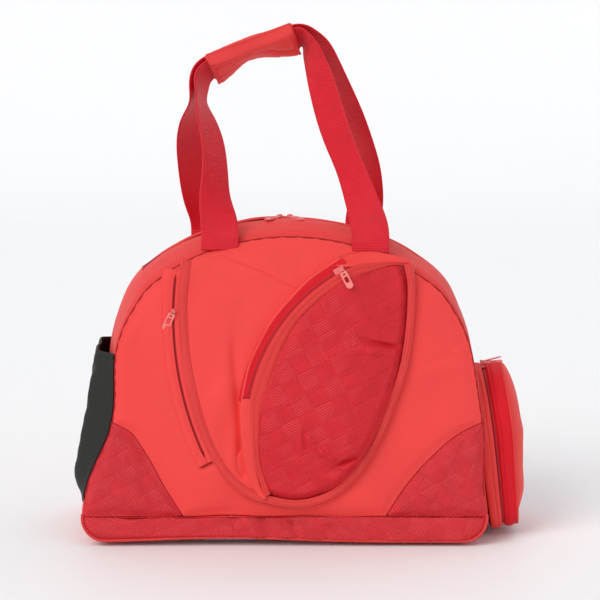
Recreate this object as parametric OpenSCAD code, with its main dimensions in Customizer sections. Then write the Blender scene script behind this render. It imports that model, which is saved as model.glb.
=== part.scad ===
// Soft arched holdall: zipped crown, U-shaped front pocket under a leaf-shaped one,
// zipped pocket on the right end, open bottle pocket on the left end, two webbing handles in one grip wrap.
// Millimetres. +X to the right, +Y to the rear, +Z up. Origin on the floor under the middle of the body.

/* [Body] */
// Half width of the body just above its rounded bottom corners
base_half_w = 222; // [216:1:228]
// Half depth of the body at the floor
base_half_d = 98; // [94:1:102]
// Backward lean of the front and rear panels, degrees
lean = 7; // [6:0.5:8]
// Inward lean of the two ends, degrees
side_tilt = 8.3; // [8:0.1:8.6]
// Radius of the bottom corners seen from the front
corner_r = 30; // [28:1:32]
// Radius of the arched crown
crown_r = 270; // [266:1:274]
// Height of the centre of the crown's circle
crown_cz = 73; // [71:1:75]
// Radius of the shoulders between crown and ends
shoulder_r = 80; // [76:1:84]
// Thickness of a padded shell panel
panel_t = 2.6; // [2:0.1:3]
// How far the front and rear panels swell in the middle
panel_bulge = 4; // [2:0.5:4]
// Height of the quilted base band
band_top = 30.6; // [28:0.1:32]

/* [Zips] */
// Half angle of the main zip on the crown's circle, degrees
main_zip_half_angle = 36; // [30:1:36]
// Thickness of a zip tape
tape_t = 0.8; // [0.6:0.1:0.8]
// Size of the pocket sliders against the main ones
pocket_zip_scale = 0.8; // [0.75:0.01:0.8]
// Length of a zip pull from its pin to its tip, main size
pull_length = 28; // [24:1:30]
// Width of a zip pull
pull_w = 9.5; // [8:0.5:10]
// Radius of a pull's cross pin
pin_r = 1; // [0.9:0.05:1]
// Running clearance round a pull's pin
pin_clearance = 0.06; // [0.04:0.01:0.08]

/* [Front pockets] */
// Half width of the U-shaped pocket
petal_half_w = 121; // [119:0.5:122]
// Height of the U-shaped pocket's widest level
petal_wide_z = 270; // [268:1:272]
// Height of the U-shaped pocket's lowest point
petal_low_z = 47; // [45:1:49]
// Radius of the leaf pocket's zip
leaf_zip_r = 196.5; // [194:0.5:198]
// Centre of the leaf pocket's zip arc on the front panel
leaf_zip_c = [155, 122];
// Radius of the U-shaped pocket's zip
petal_zip_r = 358; // [357:0.5:359]
// Centre of the U-shaped pocket's zip arc on the front panel
petal_zip_c = [240, 245];

/* [End pocket] */
// Half width of the end pocket
end_half_w = 63.8; // [62:0.2:64]
// Height of the end pocket's arch centre above the end panel's foot
end_arch_w = 86; // [84:1:88]
// Distance of its zip from the end panel
end_zip_u = 17.5; // [17:0.1:18]
// Distance of its outermost face from the end panel
end_depth = 50; // [48:1:52]

/* [Bottle pocket] */
// How far the bottle pocket stands off the end panel
bottle_standoff = 15; // [14:0.5:17]

/* [Handles] */
// Width of the webbing
webbing_w = 40; // [38:1:40]
// Thickness of the webbing
webbing_t = 2.2; // [1.8:0.1:2.2]

/* [Hidden] */
$fn = 64;

coral = "#f04a48";
crimson = "#d2283a";
quilt_red = "#d83a44";
webbing_red = "#e01a36";
pull_pink = "#f08080";
charcoal = "#333330";
lining_grey = "#8f8a88";

gap = 0.4;          // air between neighbouring soft layers
ridge_rise = 15;    // the crown's ridge above the front and rear seams
side_rise = 5;      // the ends' middle beyond the front and rear seams
plane_k = 1 / cos(lean);

// ---------- outline of the body, seen from the front ----------
side_n = [cos(side_tilt), sin(side_tilt)];
side_d = [-sin(side_tilt), cos(side_tilt)];
side_h = base_half_w * side_n.x + corner_r * side_n.y;
corner_c = [(side_h - corner_r - corner_r * side_n.y) / side_n.x, corner_r];
to_shoulder = side_n * (side_h - shoulder_r) - [0, crown_cz];
along_side = -to_shoulder * side_d
    + sqrt(pow(to_shoulder * side_d, 2) - to_shoulder * to_shoulder + pow(crown_r - shoulder_r, 2));
shoulder_c = side_n * (side_h - shoulder_r) + side_d * along_side;
crown_start = atan2(shoulder_c.y - crown_cz, shoulder_c.x);
side_top_z = shoulder_c.y + shoulder_r * side_n.y;
shoulder_top_z = crown_cz + crown_r * sin(crown_start);

// Rim points are [x, z, normal x, normal z].
function arc(c, r, a0, a1, n) =
    [for (i = [0:n]) let (a = a0 + (a1 - a0) * i / n) [c.x + r * cos(a), c.y + r * sin(a), cos(a), sin(a)]];
function side_x(z, inset = 0) = (side_h - inset - z * side_n.y) / side_n.x;
function side_points(z0, z1, n) =
    [for (i = [0:n]) let (z = z0 + (z1 - z0) * i / n) [side_x(z), z, side_n.x, side_n.y]];
function flipped(pts) = [for (i = [len(pts) - 1:-1:0]) [-pts[i].x, pts[i].y, -pts[i][2], pts[i][3]]];
function half_w(z) =
    z < corner_r ? corner_c.x + sqrt(pow(corner_r, 2) - pow(corner_r - z, 2))
    : z < side_top_z ? side_x(z)
    : z < shoulder_top_z ? shoulder_c.x + sqrt(pow(shoulder_r, 2) - pow(z - shoulder_c.y, 2))
    : sqrt(pow(crown_r, 2) - pow(z - crown_cz, 2));
function depth(z) = base_half_d - z * tan(lean);
function smoothstep(t) = let (u = min(1, max(0, t))) u * u * (3 - 2 * u);
function seam_inset(z) = side_rise + (ridge_rise - side_rise) * smoothstep((z - 200) / 110);

// A rim point moved in to the front or rear seam, in the panel's own plane.
function seam_point(p) = let (d = seam_inset(p.y)) [p.x - p[2] * d, (p.y - p[3] * d) * plane_k];

// ---------- shared solids ----------
function unit(v) = v / norm(v);
function catmull(a, b, c, d, t) =
    0.5 * (2 * b + (c - a) * t + (2 * a - 5 * b + 4 * c - d) * t * t + (3 * b - a - 3 * c + d) * t * t * t);
function smooth_path(p, n) = let (last = len(p) - 1)
    [for (i = [0:last - 1], j = [0:n - 1])
        catmull(p[max(i - 1, 0)], p[i], p[i + 1], p[min(i + 2, last)], j / n), p[last]];

// Skin over rings with the same number of points. Each ring runs counter-clockwise about the way the
// rings go.
// Its ends are closed by a fan round their middle, or across from one half of the ring to the other.
module loft(rings, fan = false) {
    m = len(rings[0]);
    n = len(rings);
    sides = [for (i = [0:n - 2], j = [0:m - 1]) let (k = (j + 1) % m, a = i * m, b = a + m)
        each [[a + j, b + j, b + k], [a + j, b + k, a + k]]];
    first_mid = [for (k = [0:2]) sum([for (p = rings[0]) p[k]]) / m];
    last_mid = [for (k = [0:2]) sum([for (p = rings[n - 1]) p[k]]) / m];
    caps = fan
        ? [for (j = [0:m - 1]) let (k = (j + 1) % m)
            each [[n * m, j, k], [n * m + 1, (n - 1) * m + k, (n - 1) * m + j]]]
        : [for (j = [0:m / 2 - 2]) let (a = m - 1 - j, up = (n - 1) * m)
            each [[j, j + 1, a - 1], [j, a - 1, a], [up + j, up + a - 1, up + j + 1],
                [up + j, up + a, up + a - 1]]];
    polyhedron(
        points = concat([for (r = rings) each r], fan ? [first_mid, last_mid] : []),
        faces = concat(sides, caps), convexity = 8);
}
function sum(v, i = 0) = i == len(v) - 1 ? v[i] : v[i] + sum(v, i + 1);

// A curved sheet inside a counter-clockwise outline: its inner face is at lower(x, y), and it is t thick.
ring_scales = [0.04, 0.35, 0.62, 0.82, 0.94, 1];
module blanket(outline, centre, lower, t) {
    function ring(s, up) = [for (p = outline) let (q = centre + ([p.x, p.y] - centre) * s)
        [q.x, q.y, lower(q.x, q.y) + up]];
    last = len(ring_scales) - 1;
    loft(concat([for (i = [0:last]) ring(ring_scales[i], 0)],
        [for (i = [last:-1:0]) ring(ring_scales[i], t)]), fan = true);
}

// A strip of the gusset between two depths. rim runs from the right foot over the top to the left foot.
// y0(z) and y1(z) give the strip's edges.
function gusset_fall(z, y) = seam_inset(z) * pow(abs(y) / depth(z), 2.5);
module gusset(rim, y0, y1, t, n = 8) {
    function point(p, j, down) = let (
        y = y0(p.y) + (y1(p.y) - y0(p.y)) * j / n,
        out = -gusset_fall(p.y, y) - down)
        [p.x + p[2] * out, y, p.y + p[3] * out];
    loft([for (p = rim) concat([for (j = [0:n]) point(p, j, 0)], [for (j = [n:-1:0]) point(p, j, t)])]);
}

// A flat band swept along a hand-chosen path of [x, y, z, side x, side y, side z].
function frames(path, n) = let (p = smooth_path(path, n), last = len(p) - 1)
    [for (i = [0:last]) let (
        at = [p[i][0], p[i][1], p[i][2]],
        before = p[max(i - 1, 0)], after = p[min(i + 1, last)],
        t = unit([after[0] - before[0], after[1] - before[1], after[2] - before[2]]),
        s0 = [p[i][3], p[i][4], p[i][5]],
        s = unit(s0 - t * (s0 * t)))
        [at, s, cross(t, s)]];
module ribbon(path, width, thick, n) {
    loft([for (f = frames(path, n))
        [for (c = [[-1, -1], [1, -1], [1, 1], [-1, 1]])
            f[0] + f[1] * c.x * width / 2 + f[2] * c.y * thick / 2]]);
}

// ---------- frames of reference ----------
// Front panel: x to the right, y up the panel, z out of it.
module on_front() { translate([0, -base_half_d, 0]) rotate([90 - lean, 0, 0]) children(); }
module on_rear() { mirror([0, 1, 0]) on_front() children(); }
// Crown: an angle from the top, with z out of the ridge.
module on_crown(angle, r) {
    translate([0, 0, crown_cz]) rotate([0, angle, 0]) translate([0, 0, r]) children();
}
// Right end panel: x out of it, z up it.
module on_end() { translate([base_half_w, 0, corner_r]) rotate([0, -side_tilt, 0]) children(); }
// An outline drawn in (y, z), extruded along x.
module along_x(x0, x1) { translate([x0, 0, 0]) rotate([90, 0, 90]) linear_extrude(x1 - x0) children(); }

// ---------- body ----------
function bulge(x, y) = panel_bulge * (1 - pow(x / 215, 2)) * 4 * (y / 335) * (1 - y / 335);
function panel_lower(x, y) = gap + bulge(x, y);

patch_curve = smooth_path([[108, 31.2], [128, 62], [150, 93], [174, 117], [202.3, 132]], 3);
seam_corner = arc(corner_c, corner_r - side_rise, -90, 1.4, 6);
band_outline = [for (p = concat(seam_corner, flipped(seam_corner))) [p.x, p.y * plane_k]];
patch_outline = concat(
    [[corner_c.x + corner_r - side_rise, 31.2 * plane_k]],
    [for (z = [55, 80, 105, 130]) [side_x(z, side_rise), z * plane_k]],
    [for (i = [len(patch_curve) - 2:-1:0]) [patch_curve[i].x + gap,
        (patch_curve[i].y - (i == 0 ? 0 : gap)) * plane_k]]);
rim_ends = concat(side_points(136, side_top_z - 6, 3),
    arc(shoulder_c, shoulder_r, side_tilt, crown_start, 5));
rim_crown = arc([0, crown_cz], crown_r, crown_start + 1, 90, 6);
upper_rim = concat(rim_ends, rim_crown);
half_panel = concat([for (p = patch_curve) [p.x, p.y * plane_k]], [for (p = upper_rim) seam_point(p)]);
panel_outline = concat(half_panel, [for (i = [len(half_panel) - 2:-1:0])
    [-half_panel[i].x, half_panel[i].y]]);

module panel() { blanket(panel_outline, [0, 175], function(x, y) panel_lower(x, y), panel_t); }
module base_band() { blanket(band_outline, [0, 18], function(x, y) panel_lower(x, y), panel_t); }
module patch() { blanket(patch_outline, [180, 66], function(x, y) panel_lower(x, y), panel_t); }

module front_panel() color(coral) on_front() panel();
module rear_panel() color(coral) on_rear() panel();
module front_base_band() color(quilt_red) on_front() base_band();
module rear_base_band() color(quilt_red) on_rear() base_band();
module corner_patch_front_right() color(quilt_red) on_front() patch();
module corner_patch_front_left() color(quilt_red) mirror([1, 0, 0]) on_front() patch();
module corner_patch_rear_right() color(quilt_red) on_rear() patch();
module corner_patch_rear_left() color(quilt_red) mirror([1, 0, 0]) on_rear() patch();

// The bottom and its rounded corners: one strip seen end on, cut to the lean of the panels.
module base_outline(inset) {
    r = corner_r - inset;
    x = corner_c.x;
    translate([-x, inset]) square([2 * x, corner_r + 4 - inset]);
    for (s = [-1, 1]) intersection() {
        translate([s * x, corner_r]) circle(r);
        translate([s * x - corner_r, 0]) square([2 * corner_r, corner_r]);
    }
    translate([-x - r, corner_r]) square([2 * (x + r), 4]);
}
module base_tub() color(coral) intersection() {
    rotate([90, 0, 0]) linear_extrude(2 * base_half_d, center = true) difference() {
        base_outline(0);
        base_outline(panel_t);
        translate([-base_half_w, corner_r + 3.6]) square([2 * base_half_w, 5]);
    }
    rotate([90, 0, 90]) linear_extrude(500, center = true)
        polygon([[-depth(0) + gap, 0], [depth(0) - gap, 0], [depth(40) - gap, 40], [-depth(40) + gap, 40]]);
}
board_size = [370, 172, 3];
board_z = 4;
module base_board() color("#c9c2b8") translate([0, 0, board_z + board_size.z / 2])
    cube(board_size, center = true);

// Piping along the bottom seam, from one end's foot round the corners to the other's.
piping_r = 2;
module base_piping() {
    right = arc(corner_c, corner_r - piping_r - 0.5, -90, side_tilt, 6);
    path = concat([for (i = [len(right) - 1:-1:0]) right[i]], [for (p = right) [-p.x, p.y, -p[2], p[3]]]);
    last = len(path) - 1;
    lift = piping_r + gap;
    on_front() loft([for (i = [0:last]) let (
        t = unit([path[min(i + 1, last)].x - path[max(i - 1, 0)].x,
            path[min(i + 1, last)].y - path[max(i - 1, 0)].y, 0]),
        a = [-t.y, t.x, 0])
        [for (k = [0:5]) [path[i].x, path[i].y * plane_k, lift]
            + piping_r * (a * cos(60 * k) + [0, 0, 1] * sin(60 * k))]]);
}
module base_piping_front() color(pull_pink) base_piping();
module base_piping_rear() color(pull_pink) mirror([0, 1, 0]) base_piping();

// Ends and crown.
zip_slot_half = 12.5;
function rear_edge(z) = depth(z) - gap;
end_rim = concat(side_points(corner_r + 5, side_top_z - 6, 6),
    arc(shoulder_c, shoulder_r, side_tilt, crown_start, 7));
module right_end_panel() color(coral)
    gusset(end_rim, function(z) -rear_edge(z), function(z) rear_edge(z), panel_t, n = 10);
module left_end_panel() color(coral) mirror([1, 0, 0]) right_end_panel();
crown_rim = arc([0, crown_cz], crown_r, crown_start + 0.12, 180 - crown_start - 0.12, 16);
module top_gusset_rear() color(coral)
    gusset(crown_rim, function(z) zip_slot_half, function(z) rear_edge(z), panel_t, n = 6);
module top_gusset_front() color(coral) mirror([0, 1, 0]) top_gusset_rear();

// Loose lining, open under the zip.
lining_t = 0.8;
lining_levels = [11, 20, 40, 110, 190, 240, 275, 300];
function lining_ring(z, inset) = let (a = half_w(z) - 13 - inset, b = depth(z) - 6 - inset)
    [for (i = [0:23]) let (c = cos(i * 15), s = sin(i * 15))
        [a * sign(c) * pow(abs(c), 0.5), b * sign(s) * pow(abs(s), 0.5), z]];
module lining() color(lining_grey) loft(concat(
    [[for (p = lining_ring(lining_levels[1], lining_t))
        [p.x * 0.05, p.y * 0.05, lining_levels[0] + lining_t]]],
    [[for (p = lining_ring(lining_levels[1], lining_t))
        [p.x * 0.93, p.y * 0.93, lining_levels[0] + lining_t]]],
    [for (i = [1:len(lining_levels) - 1]) lining_ring(lining_levels[i], lining_t)],
    [for (i = [len(lining_levels) - 1:-1:1]) lining_ring(lining_levels[i], 0)],
    [[for (p = lining_ring(lining_levels[1], 0)) [p.x * 0.93, p.y * 0.93, lining_levels[0]]]],
    [[for (p = lining_ring(lining_levels[1], 0)) [p.x * 0.05, p.y * 0.05, lining_levels[0]]]])
    , fan = true);

// ---------- zips ----------
// A zip's cross-section: side is -1 or 1, out is the height of the tape's middle.
coil_from = 0.65;
coil_to = 3.2;
coil_half_t = 1.3;
tape_to = 13;
module tape_section(side, s = 1, edge = tape_to) {
    from = (coil_to + 0.1) * s;
    translate([side > 0 ? from : -edge * s, -tape_t / 2]) square([edge * s - from, tape_t]);
}
module coil_section(side, s = 1) {
    w = (coil_to - coil_from) * s;
    translate([side > 0 ? coil_from * s : -coil_to * s, -coil_half_t * s]) square([w, 2 * coil_half_t * s]);
}
// Along the crown: the section's x goes to the rear and its y out of the crown.
module crown_sweep(r, half_angle) {
    translate([0, 0, crown_cz]) rotate([90, 0, 0]) rotate([0, 0, 90 - half_angle])
        rotate_extrude(angle = 2 * half_angle) translate([r, 0]) mirror([0, 1]) rotate(-90) mirror([1, 0])
            children();
}
// Along an arc on the front panel: the section's x points away from the arc's centre and its y out of
// the panel.
module panel_sweep(c, r, a0, a1, lift) {
    on_front() translate([c.x, c.y * plane_k, lift]) rotate([0, 0, a0])
        rotate_extrude(angle = a1 - a0) translate([r, 0]) children();
}
main_tape_r = crown_r - panel_t - 1.4 - tape_t / 2;
module main_zip_tape_rear() color(crimson) crown_sweep(main_tape_r, main_zip_half_angle)
    tape_section(1, 1, 18);
module main_zip_tape_front() color(crimson) mirror([0, 1, 0]) main_zip_tape_rear();
module main_zip_coil() color(crimson) for (m = [0, 1]) mirror([0, m, 0])
    crown_sweep(main_tape_r, main_zip_half_angle - 0.6) coil_section(1);
stop_size = [1.2, 6.4, 3.6];
module main_zip_stops() color(crimson) for (s = [-1, 1])
    on_crown(s * (main_zip_half_angle - 0.15), main_tape_r) cube(stop_size, center = true);

slider_l = 14;
slider_w = 11;
plate_in = 1.9;
plate_out = 3.3;
flange_in = 1.05;
flange_w = 1;
lug_z = 6;
lug_r = 2.5;
lug_half_w = 1.3;
// A slider round its two rows: x along the zip, z out. lug_x places the bail's lug, turned to the pull's yaw.
module slider(lug_x, yaw) {
    for (m = [0, 1]) mirror([0, 0, m]) {
        translate([-slider_l / 2, -slider_w / 2, plate_in]) cube([slider_l, slider_w, plate_out - plate_in]);
        for (s = [-1, 1]) translate([-slider_l / 2, s > 0 ? slider_w / 2 - flange_w : -slider_w / 2,
            flange_in])
            cube([slider_l, flange_w, plate_in - flange_in + 0.1]);
    }
    translate([sign(lug_x) * 4 - 1.5, -0.32, -plate_in - 0.1]) cube([3, 0.64, 2 * plate_in + 0.2]);
    translate([lug_x, 0, lug_z]) rotate([0, 0, yaw]) difference() {
        union() {
            rotate([90, 0, 0]) cylinder(r = lug_r, h = 2 * lug_half_w, center = true);
            translate([-1.6, -lug_half_w, plate_out - 0.1 - lug_z])
                cube([3.2, 2 * lug_half_w, lug_z - plate_out]);
        }
        rotate([90, 0, 0]) cylinder(r = pin_r + pin_clearance, h = 4 * lug_half_w, center = true);
    }
}
cheek_in = lug_half_w + 0.3;
cheek_out = cheek_in + 1.3;
tab_from = lug_r + 1.2;
tab_t = 1.6;
// A pull hanging on its round cross pin: x towards its tip, tilted down by droop.
module pull(lug_x, yaw, droop) {
    translate([lug_x, 0, lug_z]) rotate([0, 0, yaw]) rotate([0, droop, 0]) {
        rotate([90, 0, 0]) cylinder(r = pin_r, h = 2 * cheek_in + 0.4, center = true);
        for (s = [-1, 1]) translate([0, s * (cheek_in + cheek_out) / 2, 0]) {
            rotate([90, 0, 0]) cylinder(r = 1.8, h = cheek_out - cheek_in, center = true);
            translate([0, -(cheek_out - cheek_in) / 2, -tab_t / 2])
                cube([tab_from + 1, cheek_out - cheek_in, tab_t]);
        }
        translate([0, 0, -tab_t / 2]) linear_extrude(tab_t) difference() {
            union() {
                translate([tab_from, -pull_w / 2]) square([pull_length - tab_from - pull_w / 2, pull_w]);
                translate([pull_length - pull_w / 2, 0]) circle(pull_w / 2);
            }
            translate([tab_from + 2.2, -1.6]) square([2.4, 3.2]);
            translate([tab_from + 7, -2.6]) square([8.5, 5.2]);
        }
    }
}

main_rest = 1.9;
module main_slider_left() color(pull_pink) on_crown(-main_rest, main_tape_r) slider(3.5, -120);
module main_slider_right() color(pull_pink) on_crown(main_rest, main_tape_r) slider(-3.5, -60);
module main_pull_left() color(pull_pink) on_crown(-main_rest, main_tape_r) pull(3.5, -120, 1);
module main_pull_right() color(pull_pink) on_crown(main_rest, main_tape_r) pull(-3.5, -60, 1);

// ---------- U-shaped front pocket ----------
// Its outline from the right top (0 degrees) round the bottom (90) to the left top (180), moved in by inset.
petal_round = 2 / 2.2;
function petal_edge(a, inset = 0) = let (
    drop = (petal_wide_z - petal_low_z - inset) * pow(abs(sin(a)), petal_round),
    lean_in = 8 * pow(drop / (petal_wide_z - petal_low_z), 2),
    half = (petal_half_w - inset) * pow(abs(cos(a)), petal_round))
    [13.5 - lean_in + sign(cos(a)) * half, petal_wide_z - drop];
petal_angles = [for (i = [0:20]) 180 - i * 9];
function clamp01(t) = min(1, max(0, t));
function petal_lift(x, y) = let (r2 = min(1, pow((x - 13) / 118, 2) + pow((y - 200) / 150, 2)))
    10.2 - 4 * clamp01((x + 100) / 230) + 7 * (1 - r2);
petal_top = smooth_path([[124, 298], [92, 286], [56, 273], [16, 271], [-24, 292], [-66, 307],
    [-101, 301]], 3);
petal_outline = [for (p = concat([for (a = petal_angles) petal_edge(a, 4.5)], petal_top))
    [p.x, p.y * plane_k]];
petal_t = 2.5;
module petal_pocket_panel() color(coral) on_front()
    blanket(petal_outline, [12, 190], function(x, y) petal_lift(x, y), petal_t);
binding_w = 7;
binding_t = 3.2;
module petal_binding() color(coral) {
    path = concat([[-104, 300]], [for (a = petal_angles) petal_edge(a)], [[131, 298]]);
    on_front() ribbon([for (i = [0:len(path) - 1]) let (
        p = path[i], before = path[max(i - 1, 0)], after = path[min(i + 1, len(path) - 1)],
        t = unit([after.x - before.x, after.y - before.y]))
        [p.x, p.y * plane_k, petal_lift(p.x, p.y * plane_k) + binding_t / 2, -t.y, t.x, 0]], binding_w,
            binding_t, 1);
}
petal_zip_lift = 9.2;
petal_zip_a0 = 173.5;
petal_zip_a1 = 204;
petal_rest = 179.7;
module petal_zip_tape() color(crimson) for (s = [-1, 1])
    panel_sweep(petal_zip_c, petal_zip_r, petal_zip_a0, petal_zip_a1, petal_zip_lift)
        tape_section(s, pocket_zip_scale);
module petal_zip_coil() color(crimson) for (s = [-1, 1])
    panel_sweep(petal_zip_c, petal_zip_r, petal_zip_a0 + 0.2, petal_zip_a1 - 0.2, petal_zip_lift)
        coil_section(s, pocket_zip_scale);
module on_panel_zip(c, r, a, lift) {
    on_front() translate([c.x, c.y * plane_k, lift]) rotate([0, 0, a]) translate([r, 0, 0]) rotate([0, 0, 90])
        scale(pocket_zip_scale) children();
}
module petal_slider() color(pull_pink)
    on_panel_zip(petal_zip_c, petal_zip_r, petal_rest, petal_zip_lift) slider(-3.5, -26);
module petal_pull() color(pull_pink)
    on_panel_zip(petal_zip_c, petal_zip_r, petal_rest, petal_zip_lift) pull(-3.5, -26, 8);

// ---------- leaf-shaped pocket on top of it ----------
leaf_zip_lift = 20.6;
leaf_zip_a0 = 116.5;
leaf_zip_a1 = 170.5;
leaf_rest = 119.5;
leaf_edge_gap = 6.2;
function leaf_lift(x, y) = let (r2 = min(1, pow((x - 50) / 80, 2) + pow((y - 180) / 125, 2)))
    21.6 - 11 * smoothstep((x - 60) / 75) - 9.5 * smoothstep((130 - y) / 80) + 9 * pow(1 - r2, 2);
leaf_outline = [for (p = concat(
    [for (i = [0:8]) let (q = leaf_zip_c + (leaf_zip_r - leaf_edge_gap)
        * [cos(118 + i * 6.4), sin(118 + i * 6.4)]) q],
    [[-28.5, 138], [-26, 112], [-23, 84], [-13, 63], [12, 56.5]],
    [for (i = [0:11]) petal_edge(84 - i * 7.4, 5.5)],
    [[125.5, 292], [112, 300], [90, 299]])) [p.x, p.y * plane_k]];
module leaf_pocket_panel() color(crimson) on_front()
    blanket(leaf_outline, [55, 185], function(x, y) leaf_lift(x, y), petal_t);
module leaf_pocket_gusset() color(coral)
    panel_sweep(leaf_zip_c, leaf_zip_r, leaf_zip_a0, leaf_zip_a1, 0) translate([10.8, 18.4]) square([1.6, 4]);
module leaf_zip_tape() color(crimson) for (s = [-1, 1])
    panel_sweep(leaf_zip_c, leaf_zip_r, leaf_zip_a0, leaf_zip_a1, leaf_zip_lift)
        tape_section(s, pocket_zip_scale);
module leaf_zip_coil() color(crimson) for (s = [-1, 1])
    panel_sweep(leaf_zip_c, leaf_zip_r, leaf_zip_a0 + 0.4, leaf_zip_a1 - 0.4, leaf_zip_lift)
        coil_section(s, pocket_zip_scale);
module leaf_slider() color(pull_pink)
    on_panel_zip(leaf_zip_c, leaf_zip_r, leaf_rest, leaf_zip_lift) slider(-3.5, 87.5);
module leaf_pull() color(pull_pink)
    on_panel_zip(leaf_zip_c, leaf_zip_r, leaf_rest, leaf_zip_lift) pull(-3.5, 87.5, -16);

// ---------- end pocket ----------
end_bottom_w = -22;
end_corner_r = 20;
function end_outline(inset) = let (hw = end_half_w - inset, r = max(4, end_corner_r - inset / 2),
    b = end_bottom_w + inset)
    concat(
        [for (i = [0:14]) let (a = i * 180 / 14) [hw * cos(a), end_arch_w + hw * sin(a)]],
        [for (i = [0:5]) let (a = 180 + i * 18) [-hw + r + r * cos(a), b + r + r * sin(a)]],
        [for (i = [0:5]) let (a = 270 + i * 18) [hw - r + r * cos(a), b + r + r * sin(a)]]);
module end_ring(x0, x1, inset, t) {
    along_x(x0, x1) difference() { polygon(end_outline(inset)); polygon(end_outline(inset + t)); }
}
end_wall = 2;
end_tape_in = end_wall + gap;
module end_pocket_band() color(coral) on_end() end_ring(0.8, end_zip_u - 5.3, 0, end_wall);
module end_zip_tape() color(crimson) on_end() {
    from = (coil_to + 0.1) * pocket_zip_scale;
    end_ring(end_zip_u - 9, end_zip_u - from, end_tape_in, tape_t);
    end_ring(end_zip_u + from, end_zip_u + 9, end_tape_in, tape_t);
}
end_coil_mid = end_tape_in + tape_t / 2;
module end_zip_coil() color(crimson) on_end() for (s = [-1, 1])
    let (a = end_zip_u + s * coil_from * pocket_zip_scale, b = end_zip_u + s * coil_to * pocket_zip_scale)
        end_ring(min(a, b), max(a, b), end_coil_mid - coil_half_t * pocket_zip_scale,
            2 * coil_half_t * pocket_zip_scale);
wall_end_u = 36;
module end_pocket_wall() color(coral) on_end() end_ring(end_zip_u + 5.3, wall_end_u, 0, end_wall);
// Rows of [inset from the pocket's outline, distance from the end panel]
face_profile = [[0, wall_end_u + gap], [3, 41.5], [10, 45.8], [22, 48.6], [42, end_depth - 0.3],
    [58, end_depth]];
module end_pocket_face() color(coral) on_end() rotate([90, 0, 90]) {
    last = len(face_profile) - 1;
    outer = [for (s = face_profile) [for (p = end_outline(s[0])) [p.x, p.y, s[1]]]];
    inner = [for (s = face_profile) [for (p = end_outline(s[0] + end_wall))
        [p.x, p.y, s[1] - (s[0] > 0 ? end_wall : 0)]]];
    loft(concat([for (i = [last:-1:0]) inner[i]], outer), fan = true);
}
module on_arch(a) {
    on_end() translate([end_zip_u, 0, end_arch_w]) rotate([a, 0, 0])
        translate([0, 0, end_half_w - end_coil_mid]) rotate([0, 0, 90]) scale(pocket_zip_scale) children();
}
end_rest = 6.2;
module end_slider_front() color(pull_pink) on_arch(end_rest) slider(3.5, -90);
module end_slider_rear() color(pull_pink) on_arch(-end_rest) slider(-3.5, -90);
module end_pull_front() color(pull_pink) on_arch(end_rest) pull(3.5, -90, 3);
module end_pull_rear() color(pull_pink) on_arch(-end_rest) pull(-3.5, -90, -6);

// ---------- bottle pocket, open at the top ----------
bottle_low = 50;
bottle_knee = 95;
bottle_high = 195;
bottle_slope = 1;
bottle_t = 1.3;
hem_h = 8;
face_v = 0.74;
sewn_v = 0.97;
sewn_out = -3.6;
low_out = 2.2;
// A point out from the left end panel, v of the way from its middle to the rear seam.
function off_left(z, v, out) = [-side_x(z) - side_n.x * out, v * depth(z), z + side_n.y * out];
// A flat-sided length of the pocket between two depths. Its rows are [height, how far its first and last
// edges stand out].
module pocket_strip(v0, v1, rows, t) {
    loft([for (r = rows) let (z0 = r[0] + (r[0] > bottle_knee ? bottle_slope * v0 : 0),
            z1 = r[0] + (r[0] > bottle_knee ? bottle_slope * v1 : 0))
        [off_left(z0, v0, r[1] - t), off_left(z1, v1, r[2] - t), off_left(z1, v1, r[2]),
            off_left(z0, v0, r[1])]]);
}
face_rows = [[bottle_low, low_out, low_out], [bottle_knee, bottle_standoff + 1, bottle_standoff + 1],
    [bottle_high, bottle_standoff + 1, bottle_standoff + 1]];
rear_rows = [for (r = face_rows) [r[0], r[1], sewn_out + bottle_t]];
front_rows = [for (r = face_rows) [r[0], sewn_out + bottle_t, r[1]]];
hem_from = bottle_high + gap;
module bottle_pocket_face() color(charcoal) pocket_strip(-face_v, face_v, face_rows, bottle_t);
module bottle_pocket_side_front() color(charcoal)
    pocket_strip(-sewn_v, -face_v - 0.006, front_rows, bottle_t);
module bottle_pocket_side_rear() color(charcoal) pocket_strip(face_v + 0.006, sewn_v, rear_rows, bottle_t);
module bottle_pocket_hem() color(charcoal) {
    for (part = [[-face_v, face_v, bottle_standoff + 1, bottle_standoff + 1],
            [-sewn_v, -face_v - 0.006, sewn_out + bottle_t, bottle_standoff + 1],
            [face_v + 0.006, sewn_v, bottle_standoff + 1, sewn_out + bottle_t]])
        pocket_strip(part[0], part[1], [[hem_from, part[2], part[3]],
            [hem_from + hem_h, part[2], part[3]]], bottle_t + 0.4);
}

// ---------- handles ----------
// The grip is straight: along it, x runs to the right, z to its top edge and y to the rear, rolled by
// grip_roll.
grip_start = [-79, -4, 504];
grip_end = [12, -4, 538];
grip_rise = atan2(grip_end.z - grip_start.z, grip_end.x - grip_start.x);
grip_l = norm(grip_end - grip_start);
grip_roll = 54;
strap_step = 3.8;   // the rear strap lies this far behind the front one in the grip
grip_along = [cos(grip_rise), 0, sin(grip_rise)];
grip_side = [sin(grip_rise) * cos(grip_roll), sin(grip_roll), -cos(grip_rise) * cos(grip_roll)];
grip_back = cross(grip_along, grip_side);
module on_grip() { translate(grip_start) rotate([0, -grip_rise, 0]) rotate([grip_roll, 0, 0]) children(); }
function with_side(p, s) = [p.x, p.y, p.z, s.x, s.y, s.z];
function in_grip(d, back) = with_side(grip_start + grip_along * d + grip_back * back, grip_side);

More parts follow.
